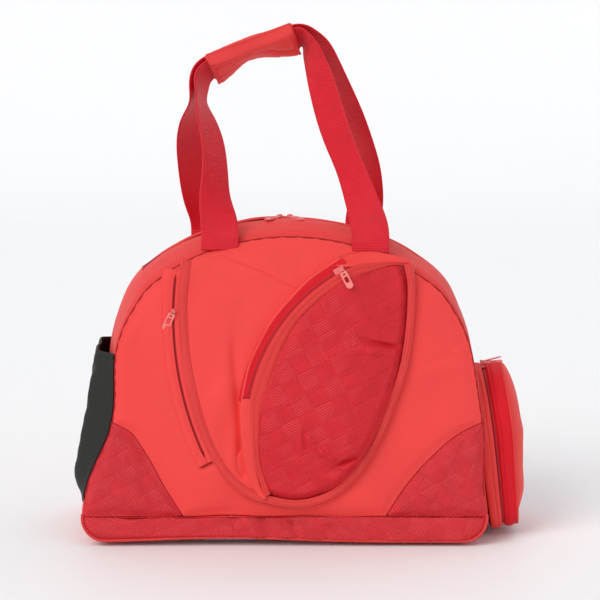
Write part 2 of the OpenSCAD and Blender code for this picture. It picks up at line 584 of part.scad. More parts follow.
front_hinge = [[-69, -61.5, 327], [92, -61.5, 323]];
rear_hinge = [[-86, 61.5, 324.5], [87, 61.5, 324.5]];
front_path = [
    with_side(front_hinge[0], [1, 0, 0]), [-69.5, -59.5, 342, 0.98, 0.15, 0.05],
        [-74, -50, 370, 0.75, 0.62, 0],
    [-74, -42, 399, 0.62, 0.78, 0], [-77, -33, 427, 0.55, 0.82, 0], [-84, -24, 451, 0.4, 0.9, 0],
    [-91, -14, 474, 0.12, 1, 0], [-91, -7, 490, 0.4, 0.8, -0.35],
    in_grip(-9, 0), in_grip(-3, 0), in_grip(grip_l + 3, 0), in_grip(grip_l + 9, 0),
    [29, -9, 523, -0.4, 0.8, -0.5], [42, -20, 482, -0.7, 0.7, -0.1], [55, -32, 438, -0.76, 0.64, 0],
    [71, -43, 397, -0.72, 0.68, 0], [84, -53, 360, -0.85, 0.45, 0],
    [91.3, -59.5, 338, -0.98, 0.15, 0], with_side(front_hinge[1], [-1, 0, 0])];
rear_path = [
    with_side(rear_hinge[0], [1, 0, 0]), [-87, 59.5, 339, 0.97, 0.2, 0], [-98, 47, 370, 0.85, 0.5, 0],
    [-103, 38, 400, 0.75, 0.65, 0], [-106, 27, 430, 0.6, 0.78, 0], [-104, 14, 455, 0.4, 0.9, 0],
    [-96, 0, 477, 0.14, 1, 0], [-94, -4, 493, 0.4, 0.8, -0.35],
    in_grip(-9, strap_step), in_grip(-3, strap_step),
    in_grip(grip_l + 3, strap_step), in_grip(grip_l + 9, strap_step),
    [36, 4, 529, -0.4, 0.75, -0.5], [52, 12, 500, -0.66, 0.74, -0.1], [67, 22, 465, -0.7, 0.7, 0],
    [80, 31, 431, -0.7, 0.7, 0], [90, 40, 398, -0.74, 0.66, 0], [92, 52, 362, -0.85, 0.5, 0],
    [87.7, 59.5, 339, -0.98, 0.15, 0],
    with_side(rear_hinge[1], [-1, 0, 0])];
module handle_front_webbing() color(webbing_red) ribbon(front_path, webbing_w, webbing_t, 3);
module handle_rear_webbing() color(webbing_red) ribbon(rear_path, webbing_w, webbing_t, 3);

// Sewn-in ends of the webbing, between the crown's seam and the straps.
anchor_gap = 2.4;   // lets a strap fold down past its sewn end
anchor_least_h = 0.8;
function crown_seam_z(x) = crown_cz + sqrt(pow(crown_r, 2) - pow(x, 2)) - ridge_rise;
module anchor(at) {
    xs = [for (i = [-4:4]) at.x + i * webbing_w / 8];
    translate([0, at.y, 0]) rotate([90, 0, 0]) linear_extrude(webbing_t, center = true)
        polygon(concat([for (x = xs) [x, min(crown_seam_z(x) + 1.4, at.z - anchor_gap - anchor_least_h)]],
            [[xs[8], at.z - anchor_gap], [xs[0], at.z - anchor_gap]]));
}
module handle_anchor_front() color(webbing_red) for (p = front_hinge) anchor(p);
module handle_anchor_rear() color(webbing_red) for (p = rear_hinge) anchor(p);

// Wrap, flap and fasteners, drawn across the grip as (y, z) and extruded along it.
wrap_half = 23.4;
wrap_t = 2;
wrap_front = -4.2;
wrap_rear = 7.6;
lip = 5;
flap_front = -8;
module grip_part() { on_grip() along_x(0, grip_l) children(); }
module grip_wrap() color(coral) grip_part() difference() {
    translate([wrap_front, -wrap_half]) square([wrap_rear - wrap_front, 2 * wrap_half]);
    translate([wrap_front + wrap_t, -wrap_half + wrap_t])
        square([wrap_rear - wrap_front - 2 * wrap_t, 2 * (wrap_half - wrap_t)]);
    translate([wrap_front - 1, -wrap_half + lip]) square([wrap_t + 2, 2 * (wrap_half - lip)]);
}
strip_t = 0.7;
module grip_loop_strip() color(crimson) on_grip()
    translate([4, wrap_front - strip_t - 0.05, -wrap_half + 0.5])
    cube([grip_l - 8, strip_t, lip - 1]);
module grip_hook_strip() color(crimson) on_grip() translate([4, flap_front + wrap_t + 0.05, -wrap_half + 0.5])
    cube([grip_l - 8, strip_t, lip - 1]);
module grip_flap() color(coral) on_grip() along_x(2, grip_l - 2)
    translate([flap_front, -wrap_half]) square([wrap_t, 2 * wrap_half - 0.5]);

base_tub();
base_board();
base_piping_front();
base_piping_rear();
front_panel();
rear_panel();
front_base_band();
rear_base_band();
corner_patch_front_left();
corner_patch_front_right();
corner_patch_rear_left();
corner_patch_rear_right();
left_end_panel();
right_end_panel();
top_gusset_front();
top_gusset_rear();
lining();
main_zip_tape_front();
main_zip_tape_rear();
main_zip_coil();
main_zip_stops();
main_slider_left();
main_slider_right();
main_pull_left();
main_pull_right();
petal_pocket_panel();
petal_binding();
petal_zip_tape();
petal_zip_coil();
petal_slider();
petal_pull();
leaf_pocket_panel();
leaf_pocket_gusset();
leaf_zip_tape();
leaf_zip_coil();
leaf_slider();
leaf_pull();
end_pocket_band();
end_pocket_wall();
end_pocket_face();
end_zip_tape();
end_zip_coil();
end_slider_front();
end_slider_rear();
end_pull_front();
end_pull_rear();
bottle_pocket_face();
bottle_pocket_side_front();
bottle_pocket_side_rear();
bottle_pocket_hem();
handle_front_webbing();
handle_rear_webbing();
handle_anchor_front();
handle_anchor_rear();
grip_wrap();
grip_flap();
grip_hook_strip();
grip_loop_strip();
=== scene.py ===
"""Looks of the arched holdall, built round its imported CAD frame.

Lengths are in millimetres until a mesh is made.
"""
from math import atan2, cos, pi, radians, sin, sqrt, tan

import bpy
import numpy as np
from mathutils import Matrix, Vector


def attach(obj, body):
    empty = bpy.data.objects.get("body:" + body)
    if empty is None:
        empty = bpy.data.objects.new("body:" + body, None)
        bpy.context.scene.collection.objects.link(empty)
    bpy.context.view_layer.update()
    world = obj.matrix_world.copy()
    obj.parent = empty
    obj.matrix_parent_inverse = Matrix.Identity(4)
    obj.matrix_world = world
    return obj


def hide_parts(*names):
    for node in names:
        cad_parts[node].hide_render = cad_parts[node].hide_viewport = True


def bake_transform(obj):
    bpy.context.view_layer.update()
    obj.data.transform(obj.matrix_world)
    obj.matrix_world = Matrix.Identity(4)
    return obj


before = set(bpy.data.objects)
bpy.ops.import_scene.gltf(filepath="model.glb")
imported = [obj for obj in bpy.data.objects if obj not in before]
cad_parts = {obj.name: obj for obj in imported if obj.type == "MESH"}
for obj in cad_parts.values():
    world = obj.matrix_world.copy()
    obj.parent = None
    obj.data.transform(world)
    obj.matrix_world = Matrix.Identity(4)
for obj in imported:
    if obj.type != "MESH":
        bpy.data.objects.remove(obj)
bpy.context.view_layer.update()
scene = bpy.context.scene
MM = 0.001

# ---------------------------------------------------------------- camera, light and floor
camera_data = bpy.data.cameras.new("camera")
camera_data.lens = 125.45
camera_data.sensor_width = 36
camera_data.clip_end = 50
camera = bpy.data.objects.new("camera", camera_data)
scene.collection.objects.link(camera)
camera.location = (0.0165, -2.2776, 0.5721)
AIM = Vector((0.0165, 0, 0.252))
camera.rotation_euler = (AIM - camera.location).to_track_quat("-Z", "Y").to_euler()
scene.camera = camera
scene.view_settings.view_transform = "Standard"


def soft_sun(name, toward, strength, spread, colour=(1, 1, 1)):
    """Studio light with no falloff, so that the backdrop stays even. toward is the way it shines."""
    data = bpy.data.lights.new(name, "SUN")
    data.energy = strength
    data.angle = radians(spread)
    data.color = colour
    light = bpy.data.objects.new(name, data)
    light.rotation_euler = Vector(toward).to_track_quat("-Z", "Y").to_euler()
    scene.collection.objects.link(light)


soft_sun("key", (0.62, 0.66, -0.74), 1.55, 38, (1, 0.985, 0.965))
soft_sun("fill", (-0.8, 0.6, -0.3), 0.28, 60, (0.97, 0.985, 1))
soft_sun("back", (-0.2, -0.6, -0.9), 0.5, 50)
world = bpy.data.worlds.new("studio")
scene.world = world
world.use_nodes = True
world.node_tree.nodes["Background"].inputs[0].default_value = (0.965, 0.975, 0.99, 1)
world.node_tree.nodes["Background"].inputs[1].default_value = 0.56

# ---------------------------------------------------------------- materials


class Nodes:
    """Short ways to add shader nodes to one material."""

    def __init__(self, name, colour, rough, sheen=0.0, metallic=0.0, specular=0.5):
        self.material = bpy.data.materials.new(name)
        self.material.use_nodes = True
        self.tree = self.material.node_tree
        self.shader = self.tree.nodes["Principled BSDF"]
        self.shader.inputs["Base Color"].default_value = (*colour, 1)
        self.shader.inputs["Roughness"].default_value = rough
        self.shader.inputs["Sheen Weight"].default_value = sheen
        self.shader.inputs["Sheen Roughness"].default_value = 0.45
        self.shader.inputs["Sheen Tint"].default_value = (1, 0.6, 0.58, 1)
        self.shader.inputs["Metallic"].default_value = metallic
        self.shader.inputs["Specular IOR Level"].default_value = specular

    def add(self, kind, **settings):
        node = self.tree.nodes.new(kind)
        for key, value in settings.items():
            setattr(node, key, value)
        return node

    def link(self, out, into):
        self.tree.links.new(out, into)

    def maths(self, operation, a, b=None):
        node = self.add("ShaderNodeMath", operation=operation)
        for socket, value in zip(node.inputs, (a, b)):
            if value is None:
                continue
            if isinstance(value, (int, float)):
                socket.default_value = value
            else:
                self.link(value, socket)
        return node.outputs[0]

    def noise(self, where, scale, detail=3.0):
        node = self.add("ShaderNodeTexNoise")
        node.inputs["Scale"].default_value = scale
        node.inputs["Detail"].default_value = detail
        self.link(where, node.inputs["Vector"])
        return node.outputs["Fac"]

    def tint(self, factor, low, high):
        """Base colour between two colours."""
        ramp = self.add("ShaderNodeValToRGB")
        ramp.color_ramp.elements[0].color = (*low, 1)
        ramp.color_ramp.elements[1].color = (*high, 1)
        self.link(factor, ramp.inputs["Fac"])
        self.link(ramp.outputs["Color"], self.shader.inputs["Base Color"])

    def bump(self, height, distance, strength=1.0, after=None):
        node = self.add("ShaderNodeBump")
        node.inputs["Distance"].default_value = distance
        node.inputs["Strength"].default_value = strength
        self.link(height, node.inputs["Height"])
        if after:
            self.link(after, node.inputs["Normal"])
        self.link(node.outputs["Normal"], self.shader.inputs["Normal"])
        return node.outputs["Normal"]


def scaled(colour, k):
    return tuple(min(1.0, c * k) for c in colour)


def uv_of(n):
    """The surface's own coordinates, in metres along the cloth."""
    uv = n.add("ShaderNodeUVMap", uv_map="cloth").outputs["UV"]
    split = n.add("ShaderNodeSeparateXYZ")
    n.link(uv, split.inputs[0])
    return uv, split.outputs["X"], split.outputs["Y"]


def waves(n, along, pitch):
    return n.maths("SINE", n.maths("MULTIPLY", along, 2 * pi / pitch))


def plain_cloth(name, colour, rough=0.6, sheen=0.06, thread=0.0009, relief=0.00012, mottle=0.07):
    """Fine plain weave with faint unevenness of colour and surface."""
    n = Nodes(name, colour, rough, sheen, specular=0.22)
    uv, u, v = uv_of(n)
    blotch = n.noise(uv, 14, 4)
    n.tint(blotch, scaled(colour, 1 - mottle), scaled(colour, 1 + mottle))
    soft = n.bump(n.noise(uv, 55, 4), 0.0012, 0.28)
    weave = n.maths("MULTIPLY", waves(n, u, thread), waves(n, v, thread))
    n.bump(weave, relief, 0.5, soft)
    return n.material


def quilted_cloth(name, colour, turn, cell=0.0195, ribs=7.5, sheen=0.06):
    """Parquet of ribbed squares: the ribs change direction from square to square."""
    n = Nodes(name, colour, 0.5, sheen, specular=0.3)
    uv, _, _ = uv_of(n)
    rotate = n.add("ShaderNodeVectorRotate", rotation_type="Z_AXIS")
    rotate.inputs["Angle"].default_value = radians(turn)
    n.link(uv, rotate.inputs["Vector"])
    split = n.add("ShaderNodeSeparateXYZ")
    n.link(rotate.outputs[0], split.inputs[0])
    a = n.maths("DIVIDE", split.outputs["X"], cell)
    b = n.maths("DIVIDE", split.outputs["Y"], cell)
    # 4000 squares are added so that the sum is never negative
    odd = n.maths("MODULO", n.maths("ADD", n.maths("ADD", n.maths("FLOOR", a), n.maths("FLOOR", b)), 4000), 2)
    rib_a = n.maths("MULTIPLY", n.maths("SINE", n.maths("MULTIPLY", a, 2 * pi * ribs)), odd)
    rib_b = n.maths("MULTIPLY", n.maths("SINE", n.maths("MULTIPLY", b, 2 * pi * ribs)),
                    n.maths("SUBTRACT", 1, odd))
    rib = n.maths("ADD", rib_a, rib_b)
    edge_a = n.maths("ABSOLUTE", n.maths("SUBTRACT", n.maths("FRACT", a), 0.5))
    edge_b = n.maths("ABSOLUTE", n.maths("SUBTRACT", n.maths("FRACT", b), 0.5))
    rim = n.maths("POWER", n.maths("MULTIPLY", n.maths("MAXIMUM", edge_a, edge_b), 2), 10)
    height = n.maths("SUBTRACT", rib, n.maths("MULTIPLY", rim, 0.7))
    # The colour follows the rib height: painted shade in the rib grooves and along each square's edge, with
    # random tone from the noise.
    shade = n.maths("ADD", n.maths("MULTIPLY", height, 0.09), n.noise(uv, 60, 5))
    n.tint(shade, scaled(colour, 0.82), scaled(colour, 1.16))
    soft = n.bump(n.noise(uv, 230, 3), 0.0006, 0.35)
    n.bump(height, 0.00034, 0.75, soft)
    return n.material


def ribbed_webbing(name, colour):
    """Heavy webbing: close ribs across, a firm edge, slightly shiny yarn."""
    n = Nodes(name, colour, 0.5, 0.08, specular=0.3)
    uv, u, v = uv_of(n)
    ribs = waves(n, v, 0.0021)
    cords = waves(n, u, 0.0013)
    # The colour follows the ribs: painted shade between them, with random tone from the noise.
    n.tint(n.maths("ADD", n.maths("MULTIPLY", ribs, 0.12), n.noise(uv, 45, 4)), scaled(colour, 0.86),
           scaled(colour, 1.12))
    first = n.bump(ribs, 0.00022, 0.7)
    n.bump(cords, 0.00012, 0.5, first)
    return n.material


def grained(name, colour, rough, grain, relief, metallic=0.0, specular=0.5):
    """Moulded or enamelled finish with a fine grain, in the object's own coordinates."""
    n = Nodes(name, colour, rough, metallic=metallic, specular=specular)
    where = n.add("ShaderNodeTexCoord").outputs["Object"]
    spots = n.noise(where, grain, 4)
    n.tint(spots, scaled(colour, 0.92), scaled(colour, 1.08))
    n.bump(spots, relief, 0.4)
    return n.material


CORAL = (0.86, 0.062, 0.057)
coral = plain_cloth("coral_cloth", CORAL)
coral_top = plain_cloth("coral_gusset_cloth", (0.78, 0.052, 0.05))
trim = plain_cloth("coral_binding_cloth", (0.76, 0.052, 0.05), 0.58, 0.06, 0.0012, 0.0003, 0.1)
crimson_quilt = quilted_cloth("crimson_quilt", (0.67, 0.014, 0.026), -28)
corner_quilt = quilted_cloth("corner_quilt", (0.64, 0.022, 0.034), 28)
band_quilt = quilted_cloth("band_quilt", (0.66, 0.026, 0.036), 20)
bright_tape = plain_cloth("bright_zip_tape", (0.72, 0.006, 0.018), 0.6, 0.04, 0.0011, 0.0002)
dark_tape = plain_cloth("dark_zip_tape", (0.5, 0.012, 0.022), 0.6, 0.04, 0.0011, 0.0002)
grainy_tape = plain_cloth("grainy_tape", (0.76, 0.05, 0.046), 0.7, 0.05, 0.0016, 0.0005, 0.14)
# Dark red for the seam allowances and seam cords: painted shade in the seams' gaps and creases.
seam_shade_cloth = plain_cloth("seam_painted_shade", (0.36, 0.012, 0.018), 0.8, 0.0)
webbing = ribbed_webbing("red_webbing", (0.69, 0.008, 0.024))
stretch = plain_cloth("black_stretch", (0.021, 0.021, 0.019), 0.6, 0.0, 0.0007, 0.0001, 0.15)
thread = grained("sewing_thread", (0.60, 0.03, 0.03), 0.7, 900, 0.0002)
enamel = grained("pink_enamel", (0.80, 0.16, 0.15), 0.38, 260, 0.00005, specular=0.6)
pull_rubber = grained("pink_pull", (0.84, 0.20, 0.19), 0.5, 420, 0.0001, specular=0.45)
teeth = grained("zip_teeth", (0.50, 0.010, 0.022), 0.45, 600, 0.0001)
lining_cloth = grained("lining_cloth", (0.30, 0.28, 0.27), 0.8, 700, 0.0003)
board = grained("board", (0.6, 0.57, 0.52), 0.8, 200, 0.0003)

floor_nodes = Nodes("studio_floor", (0.9, 0.905, 0.915), 0.55, specular=0.15)
floor_where = floor_nodes.add("ShaderNodeTexCoord").outputs["Object"]
floor_nodes.tint(floor_nodes.noise(floor_where, 1.6, 6), (0.885, 0.89, 0.9), (0.915, 0.92, 0.93))
FLOOR_HALF, FLOOR_BACK, SWEEP_R, WALL_TOP = 12, 3.4, 1.6, 7
floor_line = [(-FLOOR_HALF, 0), (FLOOR_BACK, 0)]
floor_line += [(FLOOR_BACK + SWEEP_R * sin(a), SWEEP_R - SWEEP_R * cos(a))
               for a in np.linspace(0, pi / 2, 24)[1:]]
floor_line += [(FLOOR_BACK + SWEEP_R, WALL_TOP)]
floor_points = [(x, y, z) for y, z in floor_line for x in (-FLOOR_HALF, FLOOR_HALF)]
floor_mesh = bpy.data.meshes.new("floor")
floor_mesh.from_pydata(floor_points, [],
                       [(2 * i, 2 * i + 1, 2 * i + 3, 2 * i + 2) for i in range(len(floor_line) - 1)])
floor_mesh.polygons.foreach_set("use_smooth", [True] * len(floor_mesh.polygons))
floor = bpy.data.objects.new("floor", floor_mesh)
floor_mesh.materials.append(floor_nodes.material)
scene.collection.objects.link(floor)
floor.location = (0, 0, -0.0004)

# ---------------------------------------------------------------- mesh making


def make(name, points, faces, material, hides=(), uv=None, thick=0.0, flat=False, body="bag"):
    """One piece from points in millimetres. uv holds a coordinate in millimetres for every point."""
    mesh = bpy.data.meshes.new(name)
    mesh.from_pydata((np.asarray(points, float) * MM).tolist(), [], [tuple(int(i) for i in f) for f in faces])
    mesh.polygons.foreach_set("use_smooth", [not flat] * len(mesh.polygons))
    if uv is not None:
        layer = mesh.uv_layers.new(name="cloth")
        corners = np.zeros(len(mesh.loops), int)
        mesh.loops.foreach_get("vertex_index", corners)
        layer.data.foreach_set("uv", (np.asarray(uv, float)[corners] * MM).ravel())
    mesh.materials.append(material)
    piece = bpy.data.objects.new(name, mesh)
    scene.collection.objects.link(piece)
    if thick:
        solid = piece.modifiers.new("cloth thickness", "SOLIDIFY")
        solid.thickness = thick * MM
        solid.offset = -1
    if body:
        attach(piece, body)
    if hides:
        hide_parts(*hides)
    return piece


def grid_faces(rows, cols, wrap=False, start=0):
    """Quads over a rows by cols grid of points; wrap joins the last column to the first."""
    r, c = np.meshgrid(np.arange(rows - 1), np.arange(cols if wrap else cols - 1), indexing="ij")
    d = (c + 1) % cols
    quads = np.stack([r * cols + c, r * cols + d, (r + 1) * cols + d, (r + 1) * cols + c], -1)
    return (quads.reshape(-1, 4) + start).tolist()


def unit(v):
    return v / np.maximum(np.linalg.norm(v, axis=-1, keepdims=True), 1e-9)


def smooth01(t):
    t = np.clip(t, 0, 1)
    return t * t * (3 - 2 * t)


def lengths(points):
    """Distance run along a polyline at each of its points."""
    return np.concatenate([[0], np.cumsum(np.linalg.norm(np.diff(points, axis=0), axis=1))])


def sample(at, steps, values):
    """Every column of values, read off at new distances."""
    return np.stack([np.interp(at, steps, column) for column in values.T], 1)


def bell(offset, width):
    return np.exp(-(offset / width) ** 2)


def even(points, count, closed=False):
    """Points spaced evenly along a polyline."""
    p = np.asarray(points, float)
    if closed:
        p = np.vstack([p, p[:1]])
    steps = lengths(p[:, :3])
    at = np.linspace(0, steps[-1], count + 1)[:-1] if closed else np.linspace(0, steps[-1], count)
    return sample(at, steps, p)


def curved(points, n=12):
    """A smooth curve through given points."""
    p = np.asarray(points, float)
    ends = np.vstack([p[:1], p, p[-1:]])
    out = []
    for i in range(len(p) - 1):
        a, b, c, d = ends[i:i + 4]
        for t in np.linspace(0, 1, n, endpoint=False):
            out.append(0.5 * (2 * b + (c - a) * t + (2 * a - 5 * b + 4 * c - d) * t * t
                              + (3 * b - a - 3 * c + d) * t ** 3))
    return np.array(out + [p[-1]])


def ripple(x, y, size, seed):
    """Soft repeatable unevenness, mostly between -1 and 1."""
    total = 0
    for k in range(6):
        a = seed * 1.7 + k * 2.4
        total = total + np.sin((x * cos(a) + y * sin(a)) * 2 * pi / (size * (0.65 + 0.19 * k)) + a * 3.1)
    return total / 4


def creases(x, y, rows):
    """Ridges (positive height) and valleys along short lines: x0, y0, x1, y1, width, height."""
    total = np.zeros_like(x)
    for x0, y0, x1, y1, width, height in rows:
        dx, dy = x1 - x0, y1 - y0
        t = ((x - x0) * dx + (y - y0) * dy) / (dx * dx + dy * dy)
        near = np.clip(t, 0, 1)
        d2 = (x - x0 - near * dx) ** 2 + (y - y0 - near * dy) ** 2
        total += height * np.exp(-d2 / width ** 2) * (1 - 0.75 * np.abs(2 * near - 1) ** 3)
    return total


# ---------------------------------------------------------------- the body's outline, as in the CAD
HALF_W, HALF_D, LEAN, TILT, CORNER_R = 222.0, 98.0, radians(7), radians(8.3), 30.0
CROWN_R, CROWN_Z, SHOULDER_R = 270.0, 73.0, 80.0
K = 1 / cos(LEAN)
side_n = np.array([cos(TILT), sin(TILT)])
side_d = np.array([-sin(TILT), cos(TILT)])
side_h = HALF_W * side_n[0] + CORNER_R * side_n[1]
corner_c = np.array([(side_h - CORNER_R - CORNER_R * side_n[1]) / side_n[0], CORNER_R])
to_shoulder = side_n * (side_h - SHOULDER_R) - np.array([0, CROWN_Z])
along_side = -to_shoulder @ side_d + sqrt((to_shoulder @ side_d) ** 2 - to_shoulder @ to_shoulder
                                          + (CROWN_R - SHOULDER_R) ** 2)
shoulder_c = side_n * (side_h - SHOULDER_R) + side_d * along_side
crown_start = atan2(shoulder_c[1] - CROWN_Z, shoulder_c[0])


def arc(c, r, a0, a1, n):
    a = np.linspace(a0, a1, n)
    return np.stack([c[0] + r * np.cos(a), c[1] + r * np.sin(a), np.cos(a), np.sin(a)], 1)


side_top = shoulder_c + SHOULDER_R * side_n
side_z = np.linspace(CORNER_R + CORNER_R * side_n[1], side_top[1], 60)
straight = np.stack([(side_h - side_z * side_n[1]) / side_n[0], side_z, side_z * 0 + side_n[0],
                     side_z * 0 + side_n[1]], 1)
bottom_x = np.linspace(0, corner_c[0], 60)
bottom = np.stack([bottom_x, bottom_x * 0, bottom_x * 0, bottom_x * 0 - 1], 1)
half_rim = np.vstack([bottom, arc(corner_c, CORNER_R, -pi / 2, TILT, 30)[1:], straight[1:],
                      arc(shoulder_c, SHOULDER_R, TILT, crown_start, 30)[1:],
                      arc((0, CROWN_Z), CROWN_R, crown_start, pi / 2, 60)[1:]])
other = half_rim[::-1].copy()
other[:, [0, 2]] *= -1
RIM = np.vstack([half_rim, other[1:]])
RIM_S = lengths(RIM[:, :2])
FOOT_I, SHOULDER_I = len(bottom) + 28, len(half_rim) - 60
S_FOOT = RIM_S[FOOT_I]
S_SHOULDER = RIM_S[SHOULDER_I]
S_TOP = RIM_S[len(half_rim) - 1]
S_END = RIM_S[-1]


def rim(s):
    """A point of the outline and its outward direction; the soft shoulders sink a little."""
    x, z, nx, nz = (np.interp(s, RIM_S, RIM[:, k]) for k in range(4))
    sink = 6.5 * bell(z - 258, 34) * smooth01((np.abs(x) - 95) / 50)
    return [x - nx * sink, z - nz * sink, nx, nz]


def side_s(z):
    """Run along the outline to a height on its straight right side."""
    return np.interp(z, half_rim[FOOT_I:SHOULDER_I, 1], RIM_S[FOOT_I:SHOULDER_I])


def depth(z):
    return HALF_D - z * tan(LEAN)


def seam_inset(z):
    return 5 + 10 * smooth01((z - 200) / 110)


def settle(x, z, v):
    """How the filled bag leans: the front's upper part sits to the right, and its left side is drawn in."""
    up = smooth01((z - 55) / 70) * (1 - 0.35 * smooth01((z - 250) / 70))
    shift = 4.6 * up * (1 - v)
    tuck = 9 * bell(z - 140, 48) * smooth01((-x - 150) / 40) * (0.75 - 0.25 * v)
    return shift + tuck


def gusset_xyz(s, v, out=0.0):
    """A point on the gusset: s runs round the outline, v from -1 at the front seam to 1 at the rear."""
    x, z, nx, nz = rim(s)
    inset = seam_inset(z)
    fall = inset * np.abs(v) ** 2.5
    low = bell(x + 60, 95) * np.exp(-z / 9) * smooth01((-v - 0.55) / 0.45) * 4.2
    zz = z - nz * inset
    y = v * depth(zz)
    px = x + nx * (out - fall)
    pz = z + nz * (out - fall) + low
    return np.stack([px + settle(px, pz, v), y, pz], -1)


def seam_line(s, v=-1.0):
    """A panel's seam in its own plane, x and distance up the panel: the front one, or the rear with v = 1."""
    x, z, nx, nz = rim(s)
    inset = seam_inset(z)
    low = bell(x + 60, 95) * np.exp(-z / 9) * 4.2 * (v < 0)
    sx, sz = x - nx * inset, z - nz * inset + low
    return np.stack([sx + settle(sx, sz, v), sz * K], -1)


C7, S7 = cos(LEAN), sin(LEAN)
FRONT_OUT = (0.0, -C7, S7)
PANEL_MID = (5, 178)


def on_front(x, y, up):
    return np.stack([x, -HALF_D + S7 * y - C7 * up, C7 * y + S7 * up], -1)


def on_rear(x, y, up):
    return np.stack([x, HALF_D - S7 * y + C7 * up, C7 * y + S7 * up], -1)


def blanket(outline, centre, height, place=on_front, rings=70, count=360, roll=2.6):
    """Cloth inside an outline, its edge turned in. Returns points, faces and cloth coordinates."""
    edge = even(outline, count, closed=True)
    c = np.asarray(centre, float)
    reach = np.linalg.norm(edge - c, axis=1)
    scale = np.linspace(0, 1, rings + 1)[1:]
    flat, up = [], []
    for s in scale:
        p = c + (edge - c) * s
        d = (1 - s) * reach
        flat.append(p)
        up.append(height(p[:, 0], p[:, 1], d))
    rolled = unit(c - edge) * 0.7
    flat += [edge + rolled * 0.2, edge + rolled]
    last = up[-1]
    up += [last - roll * 0.5, last - roll]
    flat, up = np.concatenate(flat), np.concatenate(up)
    middle = height(c[:1], c[1:2], np.array([reach.min()]))
    points = np.vstack([place(flat[:, 0], flat[:, 1], up), place(c[:1], c[1:2], middle)])
    faces = grid_faces(len(scale) + 2, count, wrap=True)
    hub = len(points) - 1
    faces += [(hub, (j + 1) % count, j) for j in range(count)]
    faces = [tuple(reversed(f)) for f in faces]
    uv = np.vstack([flat, c[None]])
    return points, faces, uv


def strip(rows, uv_rows, closed=False):
    """Cloth over a grid of points, rows by columns."""
    r, c = rows.shape[:2]
    return rows.reshape(-1, 3), grid_faces(r, c, wrap=closed), uv_rows.reshape(-1, 2)


def stitches(name, path, normals, pitch=3.4, length=2.3, width=0.65, rise=0.35):
    """A row of sewn stitches lying on a path."""
    p = np.asarray(path, float)
    n = np.asarray(normals, float)
    steps = lengths(p)
    at = np.arange(pitch / 2, steps[-1], pitch)
    mid = sample(at, steps, p)
    ahead = sample(at + 0.5, steps, p)
    behind = sample(at - 0.5, steps, p)
    up = unit(sample(at, steps, n))
    t = unit(ahead - behind)
    side = unit(np.cross(t, up))
    shape = [(-1, 0, -0.6), (-0.5, 1, 0), (0.5, 1, 0), (1, 0, -0.6), (0.5, -1, 0), (-0.5, -1, 0), (0, 0, 1)]
    points = np.stack([mid + t * a * length / 2 + side * b * width / 2 + up * c * rise for a, b, c in shape],
                      1)
    faces = []
    for k in range(len(at)):
        for i in range(6):
            faces.append((7 * k + 6, 7 * k + (i + 1) % 6, 7 * k + i))
        faces.append(tuple(7 * k + i for i in range(6)))
    return make(name, points.reshape(-1, 3), faces, thread)


def rope(name, path, radius, material, hides=(), sides=8):
    """A round piping along a path."""
    p = np.asarray(path, float)
    t = unit(np.gradient(p, axis=0))
    helper = np.array([0.0, 1.0, 0.0])
    a = unit(np.cross(t, helper))
    b = np.cross(t, a)
    ring = np.linspace(0, 2 * pi, sides, endpoint=False)
    pts = (p[:, None] + radius * (a[:, None] * np.cos(ring)[None, :, None]
                                  + b[:, None] * np.sin(ring)[None, :, None]))
    along = lengths(p)
    uv = np.stack(np.broadcast_arrays(ring[None] * radius, along[:, None]), -1)
    faces = grid_faces(len(p), sides, wrap=True)
    faces += [tuple(range(sides))[::-1], tuple(range((len(p) - 1) * sides, len(p) * sides))]
    return make(name, pts.reshape(-1, 3), faces, material, hides, uv.reshape(-1, 2))


# ---------------------------------------------------------------- shell of the body


def pillow(x, y, d):
    """Front cloth above the panel's plane: puffed, low at its edges."""
    bulge = 4 * (1 - (x / 215) ** 2) * 4 * (y / 335) * (1 - y / 335)
    return 0.6 + 2.4 * smooth01(d / 13) + bulge * smooth01(d / 30)


FRONT_CREASES = [
    (168, 252, 190, 257, 4, -1.1), (170, 245, 192, 248, 5, 0.9), (182, 214, 204, 224, 5, -1.4),
    (180, 205, 204, 216, 6, 1.2), (150, 196, 184, 203, 5, -0.9), (150, 188, 190, 194, 7, 0.8),
    (140, 170, 186, 176, 7, -0.7), (-150, 250, -172, 214, 6, 1.6), (-165, 262, -178, 232, 4, -1.6),
    (-128, 120, -150, 200, 16, 1.2), (-90, 60, -112, 110, 12, -0.9), (70, 45, 120, 80, 14, 0.8),
    (-70, 45, -96, 86, 9, 1.1), (150, 140, 175, 190, 16, -0.8), (-188, 180, -165, 150, 9, 1.4),
]
patch_edge = curved([(108, 31.2), (128, 62), (150, 93), (174, 117), (203, 132)], 10) * np.array([1, K])
BAND_SPLIT = 30.4 * K  # lies between the base band's foot line and its top line


def panel_base(x, y, d):
    return pillow(x, y, d) + smooth01(d / 20) * (creases(x, y, FRONT_CREASES) + 0.8 * ripple(x, y, 120, 3)
                                                 + 0.25 * ripple(x, y, 45, 8))


def rear_height(x, y, d):
    return pillow(x, y, d) + smooth01(d / 20) * (1.1 * ripple(x, y, 150, 5) + 0.35 * ripple(x, y, 60, 2))


s_patch = side_s(132)


def shift_x(points, v=-1.0):
    """The same settling for points drawn in the panel's plane."""
    p = points.copy()
    p[:, 0] += settle(p[:, 0], p[:, 1] / K, v)
    return p


def mirrored(p):
    q = p[::-1].copy()
    q[:, 0] *= -1
    return q


